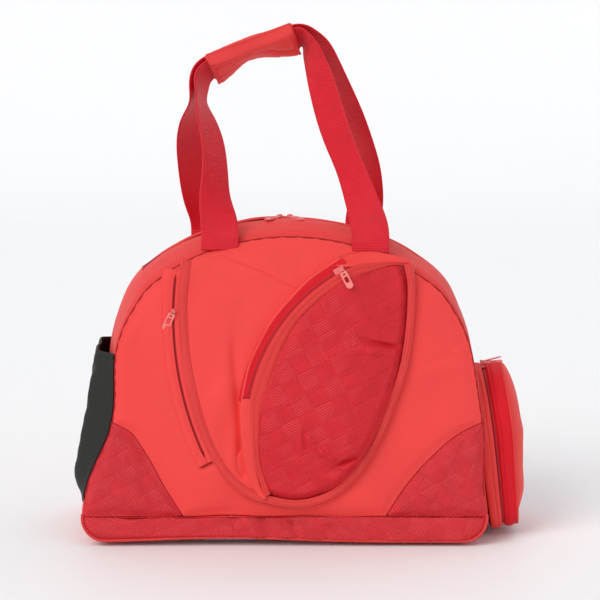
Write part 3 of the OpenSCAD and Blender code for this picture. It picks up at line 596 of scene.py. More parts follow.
def body_outline(v=-1.0):
    s = np.linspace(s_patch, S_END - s_patch, 500)
    top = seam_line(s, v)
    right, left = patch_edge[:-1], mirrored(patch_edge)[1:]
    ends = np.vstack([shift_x(right, v), top, shift_x(left, v)])
    base = np.stack([np.linspace(-108, 108, 60)[1:-1], np.full(58, 31.0 * K)], 1)
    base[:, 1] += 0.7 * np.sin(base[:, 0] / 13) + 1.5 * bell(base[:, 0] + 60, 80)
    return np.vstack([ends, base])


def cloth(name, data, material, hides=(), thick=0.0):
    points, faces, uv = data
    return make(name, points, faces, material, hides, uv, thick)


cloth("rear_panel_cloth", blanket(body_outline(1.0), PANEL_MID, rear_height, on_rear, 60, 360), coral,
      ["rear_panel"])


def patch_height(x, y, d):
    cell = np.abs(np.sin((x * 0.88 + y * 0.47) * pi / 17) * np.sin((y * 0.88 - x * 0.47) * pi / 17))
    return pillow(x, y, d) + smooth01(d / 9) * (0.9 * cell ** 0.6 + 0.7 * ripple(x, y, 55, 4))


def patch_outline(sign, v):
    s = np.linspace(S_FOOT - 1.5, s_patch - 0.6, 80)
    side = seam_line(s if sign > 0 else S_END - s, v)
    side = side[side[:, 1] > 31.2 * K]
    inner = (patch_edge[::-1] + np.array([0.4, -0.4])) * np.array([sign, 1])
    inner = shift_x(inner, v)
    inner = inner[inner[:, 1] > 31.15 * K]
    foot = np.stack([np.linspace(inner[-1, 0], side[0, 0], 30)[1:-1], np.full(28, 31.15 * K)], 1)
    return np.vstack([side, inner, foot])


def band_height(x, y, d):
    cell = np.abs(np.sin((x * 0.94 + y * 0.34) * pi / 15) * np.sin((y * 0.94 - x * 0.34) * pi / 15))
    pinch = 1.4 * bell(x + 20, 60) * np.sin((x + 0.6 * y) / 4.6)
    return (0.4 + 2.9 * smooth01(d / 8)
            + smooth01(d / 7) * (0.8 * cell ** 0.6 + pinch + 0.9 * ripple(x, y, 46, 6)))


def band_outline(v):
    s = np.concatenate([np.linspace(S_END - S_FOOT - 2, S_END, 160), np.linspace(0, S_FOOT + 2, 160)[1:]])
    low = seam_line(s, v)
    low = low[low[:, 1] < BAND_SPLIT]
    top_x = np.linspace(low[-1, 0], low[0, 0], 240)[1:-1]
    top_y = 30.5 * K + 0.7 * np.sin(top_x / 13) + 1.5 * bell(top_x + 60, 80)
    return np.vstack([low, np.stack([top_x, top_y], 1)])


def slab(outline_points, height, place, rows=26, cols=420):
    """Cloth over a long low outline, in columns from its foot line up to its top line."""
    low = outline_points[outline_points[:, 1] < BAND_SPLIT]
    top = outline_points[outline_points[:, 1] >= BAND_SPLIT][::-1]
    low, top = even(low, cols), even(top, cols)
    t = np.linspace(0, 1, rows)[:, None, None]
    flat = low[None] * (1 - t) + top[None] * t
    d = np.minimum(t[..., 0], 1 - t[..., 0]) * np.linalg.norm(top - low, axis=1)[None]
    end = np.minimum(np.linspace(0, 440, cols), np.linspace(440, 0, cols))
    d = np.minimum(d, end[None] * 0.8)
    up = height(flat[..., 0], flat[..., 1], d)
    up[0] -= 1.5
    up[-1] -= 1.5
    return place(flat[..., 0], flat[..., 1], up).reshape(-1, 3), grid_faces(rows, cols), flat.reshape(-1, 2)


for side_name, v_side, place in (("front", -1.0, on_front), ("rear", 1.0, on_rear)):
    cloth(f"{side_name}_base_band_cloth", slab(band_outline(v_side), band_height, place), band_quilt,
          [f"{side_name}_base_band"])
    for hand, sign in (("right", 1), ("left", -1)):
        shape = patch_outline(sign, v_side)
        cloth(f"corner_{side_name}_{hand}_cloth",
              blanket(shape, (sign * 176, 72), patch_height, place, 60, 240), corner_quilt,
              [f"corner_patch_{side_name}_{hand}"])

# Gusset: the ends and bottom are one strip; the top is cut for the zip.


def gusset_cloth(name, s0, s1, v0, v1, material, hides, rows, cols):
    """One length of the gusset. Its edges turn in, and it is gathered a little along the crown's seams."""
    s = np.linspace(s0, s1, rows)[:, None]
    v = np.linspace(v0, v1, cols)[None]
    s, v = np.broadcast_arrays(s, v)
    _, z, _, _ = rim(s)
    y = v * depth(z)
    soft = (2.2 - 1.2 * smooth01((z - 210) / 80)) * (1 - v * v) * smooth01((z - 8) / 60)
    soft = (soft + smooth01((z - 14) / 40) * (0.9 * ripple(s, y, 110, 4)
                                              + 0.35 * ripple(s, y, 42, 7)) * (1 - np.abs(v) ** 3))
    to_seam = (1 - np.abs(v)) * depth(z)
    gathers = np.sin(s / 2.4 + 3 * np.sin(s / 31)) * np.exp(-to_seam / 7) * smooth01((z - 190) / 60)
    soft = soft + 0.4 * gathers + 1.0 * bell(to_seam - 9, 5) * smooth01((z - 60) / 60)
    soft = soft * (1 - 0.9 * bell(z - 200, 22) * (s < S_TOP))
    to_zip = np.minimum((v - v0) * depth(z), (v1 - v) * depth(z))
    turn = (3.4 * (1 - smooth01(to_seam / 4.2))
            + np.where(to_zip < to_seam - 0.01, 2.0 * (1 - smooth01(to_zip / 3.0)), 0))
    points = gusset_xyz(s, v, soft - turn)
    return cloth(name, strip(points, np.stack([y, s], -1)), material, hides, thick=1.6)


S_ZIP = S_SHOULDER + 0.5
ZIP_EDGE = 12.5 / 58  # the zip opening's edge, as a share of the way from the middle to a seam
gusset_cloth("right_end_cloth", S_FOOT - 4, S_ZIP, -1, 1, coral_top, ["right_end_panel"], 260, 64)
gusset_cloth("left_end_cloth", S_END - S_ZIP, S_END - S_FOOT + 4, -1, 1, coral_top, ["left_end_panel"], 260,
             64)
gusset_cloth("bottom_cloth_right", 0, S_FOOT - 3.8, -1, 1, coral_top, ["base_tub"], 110, 50)
gusset_cloth("bottom_cloth_left", S_END - S_FOOT + 3.8, S_END, -1, 1, coral_top, ["base_tub"], 110, 50)
gusset_cloth("top_gusset_front_cloth", S_ZIP, S_END - S_ZIP, -1, -ZIP_EDGE, coral_top, ["top_gusset_front"],
             520, 34)
gusset_cloth("top_gusset_rear_cloth", S_ZIP, S_END - S_ZIP, ZIP_EDGE, 1, coral_top, ["top_gusset_rear"], 520,
             34)

for side_name, sign, place in (("front", -1, on_front), ("rear", 1, on_rear)):
    s = np.concatenate([np.linspace(S_END - S_FOOT, S_END, 200), np.linspace(0, S_FOOT, 200)[1:]])
    line = seam_line(s, float(sign))
    rope(f"base_piping_{side_name}_cord", place(line[:, 0], line[:, 1], 1.4), 1.5, trim,
         [f"base_piping_{side_name}"])
    s = np.linspace(S_FOOT + 20, S_END - S_FOOT - 20, 700)
    line = seam_line(s, float(sign))
    # The dark cord along each crown seam is painted shadow: it stands in for the shade in the seam's crease.
    rope(f"panel_seam_{side_name}",
         place(line[:, 0], line[:, 1], 0.1 + 0.3 * np.sin(s / 2.4 + 3 * np.sin(s / 31))), 0.85, seam_shade_cloth)
    s = np.linspace(S_FOOT + 40, S_END - S_FOOT - 40, 900)
    stitch_path = gusset_xyz(s, sign * (1 - 5.0 / 60), 0.4)
    _, _, nx, nz = rim(s)
    stitches(f"gusset_topstitch_{side_name}", stitch_path, np.stack([nx, 0 * nx, nz], 1))

# ---------------------------------------------------------------- the two front pockets


def petal_top_y(x):
    xs, zs = np.array([(-118, 303), (-104, 303), (-88, 308), (-66, 308.5), (-24, 292), (16, 272), (48, 280),
                       (85, 292), (131, 300), (145, 300)]).T
    return np.interp(x, xs, zs) * K


def petal_up(x, y):
    """Height of the U-shaped pocket's cloth above the panel's plane."""
    r2 = np.clip(((x - 13) / 118) ** 2 + ((y - 200) / 150) ** 2, 0, 1)
    return 12.7 - 4 * np.clip((x + 100) / 230, 0, 1) + 7 * (1 - r2) - 5 * smooth01((y - 288) / 25)


def directions(a):
    return np.stack([np.cos(a), np.sin(a)], 1)


def zip_polar(x, y, centre):
    dx, dy = x - centre[0], y - centre[1]
    return np.hypot(dx, dy), np.degrees(np.arctan2(dy, dx)) % 360


PETAL_ZIP_C, PETAL_ZIP_R = np.array([240, 245 * K]), 358.0
LEAF_ZIP_C, LEAF_ZIP_R = np.array([155, 122 * K]), 196.5
COVER_UP = 12.15


def zip_swell(x, y, base):
    """The body's cloth rises to meet the slit over the U-shaped pocket's zip."""
    r, a = zip_polar(x, y, PETAL_ZIP_C)
    window = smooth01((a - 168) / 6) * smooth01((216 - a) / 9)
    return (COVER_UP - base) * window * smooth01((402 - r) / 40) * (r > 300)


def yoke(x, y, base):
    """The body's cloth above the U-shaped pocket, from the pocket's height down to the crown seam."""
    e = y - petal_top_y(x)
    reach = np.maximum((73 + np.sqrt(np.maximum(255 ** 2 - x ** 2, 0))) * K - petal_top_y(x), 12)
    along = smooth01((x + 119) / 14) * smooth01((150 - x) / 16)
    edge = petal_up(x, petal_top_y(x)) - 0.5
    return np.maximum(edge - base, 0) * np.where(e > 0, smooth01(1.05 - e / reach),
                                                 smooth01(1 + e / 8)) * along


def body_height(x, y, d):
    base = panel_base(x, y, d)
    return base + zip_swell(x, y, base) * smooth01(d / 15) + yoke(x, y, base) * smooth01(d / 7)


def body_below_zip(x, y, d):
    """As body_height, but sunk under the zip and the pocket."""
    r, a = zip_polar(x, y, PETAL_ZIP_C)
    base = panel_base(x, y, d)
    sunk = smooth01((370 - r) / 6) * smooth01((a - 171) / 3) * smooth01((207.5 - a) / 2)
    return base + zip_swell(x, y, base) * smooth01(d / 15) * (1 - sunk) + yoke(x, y, base) * smooth01(d / 7)


cloth("front_panel_cloth", blanket(body_outline(), PANEL_MID, body_below_zip, rings=110, count=520), coral,
      ["front_panel"])

U_LINE = curved([
    (-104, 303), (-108.5, 263), (-107, 222), (-101.5, 178), (-86, 122), (-66, 83), (-43, 60), (-15, 50),
    (16, 46), (48, 55), (71, 73), (93, 105), (112, 147), (126, 189), (133, 231), (135, 276), (131, 300),
], 10) * np.array([1, K])
U_FINE = even(U_LINE, 420)


def to_line(x, y, line):
    """Distance from points to a polyline's points."""
    shape = np.shape(x)
    p = np.stack([np.ravel(x), np.ravel(y)], 1)
    best = np.full(len(p), 1e9)
    for i in range(0, len(line), 40):
        q = line[i:i + 40]
        best = np.minimum(best, np.sqrt(((p[:, None] - q[None]) ** 2).sum(2)).min(1))
    return best.reshape(shape)


LEAF_OUTER = np.array([
    (54, 306), (27, 287), (6, 266), (-13, 245), (-28, 218), (-38.5, 194), (-45.5, 160), (-46.5, 138),
    (-45, 118), (-41, 87), (-33, 64), (-23, 50),
], float)


def leaf_left(y):
    return np.interp(y, LEAF_OUTER[::-1, 1], LEAF_OUTER[::-1, 0])


PETAL_FOLDS = [
    (-54, 222, -50, 162, 5.0, -3.2), (-50, 170, -45, 116, 5.5, -4.5), (-47, 120, -44, 70, 5.0, -5.5),
    (-64, 228, -60, 150, 9, 1.3), (-86, 130, -57, 178, 13, 1.3), (-72, 95, -56, 150, 10, -0.9),
    (-60, 70, -52, 110, 7, 1.1), (-95, 210, -80, 150, 14, -0.8), (-40, 262, -58, 215, 12, -0.9),
    (-20, 250, -38, 232, 9, 0.9), (-70, 290, -40, 270, 14, 0.6), (-30, 190, -40, 150, 8, 1.0),
]


def petal_height(x, y, d):
    under_leaf = smooth01((x - leaf_left(y) - 1.5) / 5)
    soft = creases(x, y, PETAL_FOLDS) + 0.5 * ripple(x, y, 95, 11) + 0.2 * ripple(x, y, 38, 5)
    return (petal_up(x, y) + smooth01(d / 12) * soft * (1 - under_leaf) - 7 * under_leaf
            - 1.2 * (1 - smooth01(d / 4)))


def left_of(line):
    """Direction to the left of a line at each of its points."""
    t = unit(np.gradient(line, axis=0))
    return np.stack([-t[:, 1], t[:, 0]], 1)


def inset_line(line, amount):
    """A line moved to its left by an amount, one for the line or one for each point."""
    return line + left_of(line) * np.broadcast_to(amount, len(line))[:, None]


top_x = np.linspace(128, -101, 120)
top_line = np.stack([top_x, petal_top_y(top_x) - 0.4], 1)
petal_inner = inset_line(U_FINE, 3.2)
petal_inner = petal_inner[petal_inner[:, 1] < petal_top_y(petal_inner[:, 0]) - 2]
cloth("petal_pocket_cloth", blanket(np.vstack([petal_inner, top_line]), (12, 190), petal_height, rings=120,
                                    count=620, roll=2.2), coral,
      ["petal_pocket_panel"])


def plane_band(name, line, section, material, hides=(), thick=0.0, normal=None, place=on_front):
    """Cloth swept along a line in the panel's plane.

    section(point, where) gives rows of (offset to the left, height).
    """
    left = left_of(line) if normal is None else normal
    rows = [section(p, k / (len(line) - 1)) for k, p in enumerate(line)]
    rows = np.array(rows, float)
    flat = line[:, None] + left[:, None] * rows[..., :1]
    along = lengths(line)
    across = np.concatenate([np.zeros((len(line), 1)),
                             np.cumsum(np.linalg.norm(np.diff(rows, axis=1), axis=2), axis=1)], 1)
    uv = np.stack([across, np.broadcast_to(along[:, None], across.shape)], -1)
    points = place(flat[..., 0], flat[..., 1], rows[..., 1])
    faces = [tuple(reversed(f)) for f in grid_faces(*rows.shape[:2])]
    return make(name, points.reshape(-1, 3), faces, material, hides, uv.reshape(-1, 2), thick)


def band_top(p):
    return petal_up(*p) + 0.9 + 1.9 * np.clip((p[0] + 20) / 130, 0, 1)


def binding_half(x, widest=5.3):
    """Half the binding's width, which narrows toward the right."""
    return widest - 1.2 * smooth01((x + 90) / 120)


def binding_section(p, k):
    """A folded binding: its outer edge turned under, a low crown, its inner edge pressed on the pocket."""
    half = binding_half(p[0])
    h = band_top(p) + 0.25 * sin(0.11 * p[0] + 0.07 * p[1])
    return [(-half + 1.2, h - 1.9), (-half + 0.2, h - 1.8), (-half, h - 1.3), (-half + 0.3, h - 0.7),
            (-half + 1.1, h - 0.15), (-half + 2.4, h - 0.25),
            (-half + 3, h - 0.05), (0, h + 0.15), (half - 2.6, h - 0.05), (half - 2.1, h - 0.3),
            (half - 1.4, h - 0.1), (half - 0.5, h - 0.4),
            (half, h - 1.1), (half - 0.2, h - 1.9)]


plane_band("petal_binding_cloth", U_FINE, binding_section, trim, ["petal_binding"])
for label, back in (("outer", -1), ("inner", 1)):
    half = binding_half(U_FINE[:, 0])
    row = inset_line(U_FINE, back * (half - 2.3))
    lift = np.array([band_top(p) for p in U_FINE]) - 0.12
    row_points = on_front(row[:, 0], row[:, 1], lift)
    stitches(f"petal_binding_stitches_{label}", row_points, np.broadcast_to(FRONT_OUT, row_points.shape),
             pitch=2.9, length=1.9,
             width=0.55, rise=0.3)


def skirt_section(p, k):
    """The pocket's side wall, from under the binding down to the body's cloth."""
    half = binding_half(p[0], 5.0)
    h = band_top(p) - 1.6
    low = panel_base(np.array([p[0]]), np.array([p[1]]), np.array([60.0]))[0] - 0.6
    return [(-half + 2.5, h + 0.2), (-half + 0.9, h), (-half + 0.5, h * 0.62 + low * 0.38),
            (-half + 0.1, h * 0.3 + low * 0.7), (-half - 0.7, low)]


from_zip = U_FINE[(U_FINE[:, 1] < 98) | (U_FINE[:, 0] > 0)]
above_zip = U_FINE[(U_FINE[:, 1] > 292) & (U_FINE[:, 0] < 0)]
plane_band("petal_side_wall", from_zip, skirt_section, coral, thick=1.0)
plane_band("petal_side_wall_top", above_zip, skirt_section, coral, thick=1.0)

# Two flaps close over the U-shaped pocket's zip and leave a slit for the slider's lug.
SLIT_COUNT = 240
zip_a = np.radians(np.linspace(172.2, 206, SLIT_COUNT))
zip_dirs = directions(zip_a)
slit_line = PETAL_ZIP_C + zip_dirs * PETAL_ZIP_R
slit_half = (1.15 * smooth01((np.degrees(zip_a) - 172.6) / 1.4) * smooth01((205.4 - np.degrees(zip_a)) / 1.6)
             + 0.05)


def cover_section(p, k):
    half = float(np.interp(k, np.linspace(0, 1, SLIT_COUNT), slit_half))
    to_band = float(to_line(*(p[:, None]), U_FINE)[0]) - 2
    h = COVER_UP
    return [(-half - 0.5, h - 1.5), (-half - 0.05, h - 0.9), (-half, h - 0.4), (-half - 0.4, h),
            (-half - 1.6, h), (-half - 2.2, h - 0.2), (-half - 2.8, h),
            (-max(to_band, half + 3.4), h)]


def welt_section(p, k):
    half = float(np.interp(k, np.linspace(0, 1, SLIT_COUNT), slit_half))
    rows = [(half + 0.5, COVER_UP - 1.5), (half + 0.05, COVER_UP - 0.9), (half, COVER_UP - 0.4),
            (half + 0.4, COVER_UP)]
    for out in (1.6, 2.2, 2.8, 5, 7, 9, 10.5, 12, 14):
        q = PETAL_ZIP_C + unit(p - PETAL_ZIP_C) * (PETAL_ZIP_R + half + out)
        h = body_height(q[:1], q[1:], np.array([min(60.0, 0.9 * (petal_top_y(q[0]) + 20 - q[1]))]))[0]
        h = (min(h, COVER_UP + 0.1) + (0.25 if out < 9 else 0) - 0.35 * max(0, out - 9)
             - (0.3 if out == 2.2 else 0))
        rows.append((half + out, h))
    return rows


plane_band("petal_zip_cover", slit_line, cover_section, coral, normal=zip_dirs)
plane_band("petal_zip_welt", slit_line, welt_section, coral, normal=zip_dirs)


def leaf_edge_up(x, y):
    return (24.1 - 11 * smooth01((x - 60) / 75) - 9.5 * smooth01((130 - y) / 80)
            - 7 * smooth01((y - 262) / 45) * smooth01((x - 64) / 34))


LEAF_FOLDS = [
    (92, 219, 122, 213, 2.3, -5.2), (79, 225, 94, 217, 2.6, -2.4), (62, 236, 84, 240, 3.2, -1.4),
    (64, 208, 86, 211, 5.0, 2.6), (86, 211, 122, 204, 4.2, 3.8), (54, 224, 84, 198, 8.5, -2.8),
    (26, 205, 52, 232, 15, -1.8), (16, 128, 18, 108, 2.6, 1.8), (21, 126, 23, 100, 2.8, -1.3),
    (24, 120, 34, 106, 3.0, 3.0), (34, 106, 56, 91, 3.2, 4.2), (54, 88, 80, 98, 2.4, -5.6),
    (62, 82, 84, 94, 3.0, 2.6), (40, 88, 70, 78, 3.0, -1.4), (30, 80, 66, 70, 3.4, 1.2),
    (60, 108, 82, 104, 7.0, 1.8), (96, 172, 112, 190, 7, -1.4), (70, 170, 100, 182, 9, 1.2),
    (10, 190, 30, 150, 13, -1.2), (-12, 170, 0, 130, 8, 0.8), (100, 252, 124, 262, 6, 0.9),
    (44, 262, 70, 250, 8, -0.8), (88, 244, 116, 238, 5, -1.0),
]


def leaf_height(x, y, d):
    r2 = np.clip(((x - 50) / 80) ** 2 + ((y - 180) / 125) ** 2, 0, 1)
    u, v = x * cos(radians(28)) + y * sin(radians(28)), y * cos(radians(28)) - x * sin(radians(28))
    puff = np.abs(np.sin(u * pi / 33) * np.sin(v * pi / 16.5)) ** 0.55
    to_u = to_line(x, y, U_FINE)
    tuck = 5.0 * (1 - smooth01((to_u - 4) / 9))
    inner = smooth01(d / 9)
    crumple = 0.55 * ripple(x, y, 52, 14) + 0.3 * ripple(x, y, 24, 21) * smooth01((x - 20) / 50)
    return (leaf_edge_up(x, y) + 9 * (1 - r2) - 0.6
            + inner * (0.9 * puff + crumple + creases(x, y, LEAF_FOLDS)) - tuck - 0.9 * (1 - smooth01(d / 3)))


QUILT_LEFT = curved([
    (128, 300.5), (112, 300), (92, 294), (71, 286), (43, 267), (16, 241), (0, 214), (-13, 182), (-24, 150),
    (-27, 118), (-25, 87), (-15, 57),
], 12)
leaf_right = inset_line(U_FINE, 3.4)
leaf_right = leaf_right[(leaf_right[:, 0] > -13) & (leaf_right[:, 1] < 298)
                        & ((leaf_right[:, 1] < 120) | (leaf_right[:, 0] > 50))]
cloth("leaf_pocket_quilt", blanket(np.vstack([leaf_right, inset_line(even(QUILT_LEFT, 260), -1.2)]),
                                   (52, 180), leaf_height, rings=150, count=680,
                                    roll=2.0), crimson_quilt, ["leaf_pocket_panel"])

leaf_arc = LEAF_ZIP_C + 194.8 * directions(np.radians(np.linspace(114, 170, 60)))
facing_outer = even(np.vstack([curved([(133, 303.5), (112, 304.5), (92, 302.5)], 8), leaf_arc,
                               curved([(-36.6, 150), (-35.5, 132), (-34, 110), (-31, 85), (-21, 54)], 8)]),
                               320)
facing_inner = even(QUILT_LEFT, 320)


def facing_points(outer, inner, profile, extra=0.0):
    """A strip between two lines; profile rows are (share of the way across, height above the leaf's edge)."""
    rows = np.array([outer * (1 - t) + inner * t for t, _ in profile]).transpose(1, 0, 2)
    up = leaf_edge_up(rows[..., 0], rows[..., 1]) + np.array([h for _, h in profile])[None] + extra
    width = np.linalg.norm(inner - outer, axis=1)
    along = lengths(outer)
    uv = np.stack([np.array([t for t, _ in profile])[None] * width[:, None],
                   np.broadcast_to(along[:, None], up.shape)], -1)
    return on_front(rows[..., 0], rows[..., 1], up), uv


FACING = [
    (0.03, -2.6), (0, -1.6), (0.0, -1.0), (0.03, -0.6), (0.1, -0.25), (0.2, 0.05), (0.32, 0.1), (0.4, -0.1),
    (0.44, -0.5), (0.48, -0.2), (0.56, 0.1), (0.68, 0.2), (0.8, 0.15), (0.85, -0.1), (0.9, 0.15), (0.96, 0),
    (1.0, -0.6), (1.0, -1.6),
]
wave = 0.22 * np.sin(np.linspace(0, 60, 320))[:, None]
rows, uv = facing_points(facing_outer, facing_inner, FACING, wave)
cloth("leaf_facing", strip(rows, uv), grainy_tape)
row = facing_outer * 0.15 + facing_inner * 0.85
row_points = on_front(row[:, 0], row[:, 1], leaf_edge_up(row[:, 0], row[:, 1]) + 0.05 + wave[:, 0])
stitches("leaf_facing_stitches", row_points, np.broadcast_to(FRONT_OUT, row_points.shape), pitch=2.7,
         length=1.8, width=0.5, rise=0.28)

# Coral cloth from the slider to the tip, up to the crown seam.
top_outer = even(curved([(46, 302), (56, 307), (74, 313.5), (92, 315), (112, 312), (133, 305)], 10), 90)
top_inner = even(curved([(64.5, 298), (74, 299.3), (92, 300.6), (112, 302.4), (134, 301.5)], 10), 90)
rows = np.array([top_outer * (1 - t) + top_inner * t for t in np.linspace(0, 1, 12)]).transpose(1, 0, 2)
share = np.linspace(0, 1, 12)[None]
edge_up = leaf_edge_up(top_inner[:, 0], top_inner[:, 1])[:, None] - 0.4
seam_up = np.interp(top_outer[:, 0], [46, 60, 80, 133], [15.5, 11, 4.5, 4.2])[:, None]
up = (seam_up + (edge_up - seam_up) * np.sin(share * pi / 2) ** 0.9 - 0.4 * (np.abs(share - 0.55) < 0.05)
      - 1.2 * smooth01((share - 0.75) / 0.25))
cloth("leaf_top_cloth", strip(on_front(rows[..., 0], rows[..., 1], up), rows), coral, thick=0.8)

# The leaf pocket's side wall and the strip beside its facing.
outer_line = even(curved([(58, 308.5), (54, 306), (27, 287.5), (6, 266.5), (-13, 244), (-28, 218), (-39, 193),
                          (-46, 160), (-47, 138), (-45.5, 118), (-41.5, 87),
                          (-33, 64), (-23, 50)], 12), 300)


def wall_section(p, k):
    h = leaf_edge_up(*p) - 3.1 + 1.2 * smooth01((150 - p[1]) / 10)
    low = petal_height(np.array([p[0] - 1.5]), np.array([p[1]]), np.array([30.0]))[0] - 0.8
    return [(-1.2, low), (-0.5, low * 0.5 + h * 0.5), (0.0, h - 0.6), (0.6, h + 0.15), (1.6, h + 0.3),
            (2.6, h + 0.1), (2.8, h - 0.6)]


plane_band("leaf_pocket_wall", outer_line, wall_section, coral, ["leaf_pocket_gusset"])
strip_outer = even(curved([(-45.2, 159), (-46, 150), (-46.5, 138), (-45, 118), (-41, 87), (-32.5, 64),
                           (-22.5, 51)], 10), 120)
strip_inner = even(curved([(-35.2, 159), (-35.4, 150), (-35, 138), (-33, 118), (-31, 87), (-26, 66),
                           (-19, 52)], 10), 120)
rows, uv = facing_points(strip_outer, strip_inner, [(0, -2.4), (0.02, -1.6), (0.1, -1.2), (0.3, -1.0),
                                                    (0.6, -1.1), (0.9, -1.4), (1.0, -1.9)],
                         0.2 * np.sin(np.linspace(0, 26, 120))[:, None])
cloth("leaf_zip_end_cover", strip(rows, uv), coral, thick=0.7)

# Seam allowances under the panel's seams, so that no gap shows the inside. Their dark colour is painted shade
# in the seams' gaps.
backing = [(-3.2, -1.6), (-1.2, -0.7), (1.2, -0.7), (3.2, -1.6)]
base_line = np.stack([np.linspace(-205, 205, 120),
                      30.8 * K + 1.5 * bell(np.linspace(-205, 205, 120) + 60, 80)], 1)
for side_name, v_side, place in (("front", -1.0, on_front), ("rear", 1.0, on_rear)):
    for label, line in (("right", shift_x(patch_edge, v_side)),
                        ("left", shift_x(mirrored(patch_edge), v_side)), ("base", base_line)):
        plane_band(f"seam_backing_{side_name}_{label}", line, lambda p, k: backing, seam_shade_cloth, place=place)

# ---------------------------------------------------------------- zips


def zip_rows(name, centre, out, across, coil_node, tape_nodes, scale, tape_edge, tape_material, pitch=1.35):
    """Two tapes and two rows of coil teeth along a line of points."""
    c, o, a = (np.asarray(v, float) for v in (centre, out, across))
    steps = lengths(c)
    hides = tape_nodes
    for k, side in enumerate((-1, 1)):
        edges = [0.5, 1.5, 3, 5, 7, 9, tape_edge / scale]
        rows = np.stack([c + side * a * e * scale + o * (0.05 * e * sin(e)) for e in edges], 1)
        uv = np.stack(np.broadcast_arrays(np.array(edges)[None] * scale, steps[:, None]), -1)
        pts, faces, uvs = strip(rows, uv)
        make(f"{name}_tape_{k}", pts, faces, tape_material, hides, uvs, 0.7)
        hides = ()
    shape = [(0.1, -0.42, 0.2), (0.1, 0.42, 0.2), (0.1, 0.42, 1.2), (0.1, -0.42, 1.2), (2.2, -0.5, 0.1),
             (2.2, 0.5, 0.1), (2.2, 0.36, 1.05), (2.2, -0.36, 1.05),
             (3.1, -0.42, 0.1), (3.1, 0.42, 0.1), (3.0, 0.3, 0.55), (3.0, -0.3, 0.55)]
    quads = [(0, 3, 2, 1), (4, 8, 9, 5), (5, 9, 10, 6), (6, 10, 11, 7), (7, 11, 8, 4), (8, 11, 10, 9),
             (0, 1, 5, 4), (1, 2, 6, 5), (2, 3, 7, 6), (3, 0, 4, 7)]
    points, faces = [], []
    for side in (-1, 1):
        at = np.arange(pitch * (0.5 if side > 0 else 1.0), steps[-1], pitch * scale + 0.25)
        cc, oo, aa = (sample(at, steps, v) for v in (c, o, a))
        tt = unit(np.cross(oo, aa))
        start = sum(len(p) for p in points)
        block = np.stack([cc + side * aa * (x - 0.75) * scale + tt * y * scale * 0.9 + oo * z * scale for x,
                          y, z in shape], 1)
        points.append(block.reshape(-1, 3))
        for i in range(len(at)):
            for q in quads:
                f = tuple(start + 12 * i + j for j in q)
                faces.append(f if side > 0 else f[::-1])
    return make(f"{name}_teeth", np.vstack(points), faces, teeth, [coil_node], flat=True)


def plane_zip(name, centre, radius, a0, a1, lift, coil_node, tape_node, tape_material):
    a = np.radians(np.linspace(a0, a1, 160))
    d = directions(a)
    p = centre + radius * d
    middle = on_front(p[:, 0], p[:, 1], np.full(len(p), lift))
    across = np.stack([d[:, 0], S7 * d[:, 1], C7 * d[:, 1]], 1)
    out = np.broadcast_to(FRONT_OUT, across.shape)
    zip_rows(name, middle, out, across, coil_node, [tape_node], 0.8, 10.2, tape_material)


plane_zip("petal_zip", PETAL_ZIP_C, PETAL_ZIP_R, 173.5, 204, 9.2, "petal_zip_coil", "petal_zip_tape",
          bright_tape)
plane_zip("leaf_zip", LEAF_ZIP_C, LEAF_ZIP_R, 116.5, 170.5, 20.6, "leaf_zip_coil", "leaf_zip_tape",
          bright_tape)
a = np.radians(np.linspace(-36, 36, 260))
main_r = CROWN_R - 2.6 - 1.4 - 0.4
crown_out = np.stack([np.sin(a), 0 * a, np.cos(a)], 1)
zip_rows("main_zip", crown_out * main_r + np.array([0, 0, CROWN_Z]), crown_out,
         np.broadcast_to([0.0, 1.0, 0.0], crown_out.shape),
         "main_zip_coil", ["main_zip_tape_front", "main_zip_tape_rear"], 1.0, 17.5, dark_tape, 1.6)

# ---------------------------------------------------------------- end pocket
CT, ST = cos(TILT), sin(TILT)


def on_end(y, w, u):
    """A point on the end pocket, which is squashed a little flatter toward the floor."""
    w = np.asarray(w, float)
    u = u * (0.8 + 0.2 * np.clip((w + 12) / 90, -0.1, 1))
    y, w, u = np.broadcast_arrays(y, w, u)
    return np.stack([HALF_W + u * CT - w * ST, y, CORNER_R + u * ST + w * CT], -1)


def end_outline(inset):
    hw, r, b = 63.8 - inset, max(4, 20 - inset / 2), -22 + inset
    top = np.radians(np.linspace(0, 180, 90))
    low_l, low_r = np.radians(np.linspace(180, 270, 16)), np.radians(np.linspace(270, 360, 16))
    return np.vstack([np.stack([hw * np.cos(top), 86 + hw * np.sin(top)], 1),
                      np.stack([-hw + r + r * np.cos(low_l), b + r + r * np.sin(low_l)], 1),
                      np.stack([hw - r + r * np.cos(low_r), b + r + r * np.sin(low_r)], 1)])


END_COUNT = 360
END_LINE = even(end_outline(0), END_COUNT, closed=True)
end_t = unit(np.roll(END_LINE, -1, 0) - np.roll(END_LINE, 1, 0))
END_OUT = np.stack([end_t[:, 1], -end_t[:, 0]], 1)


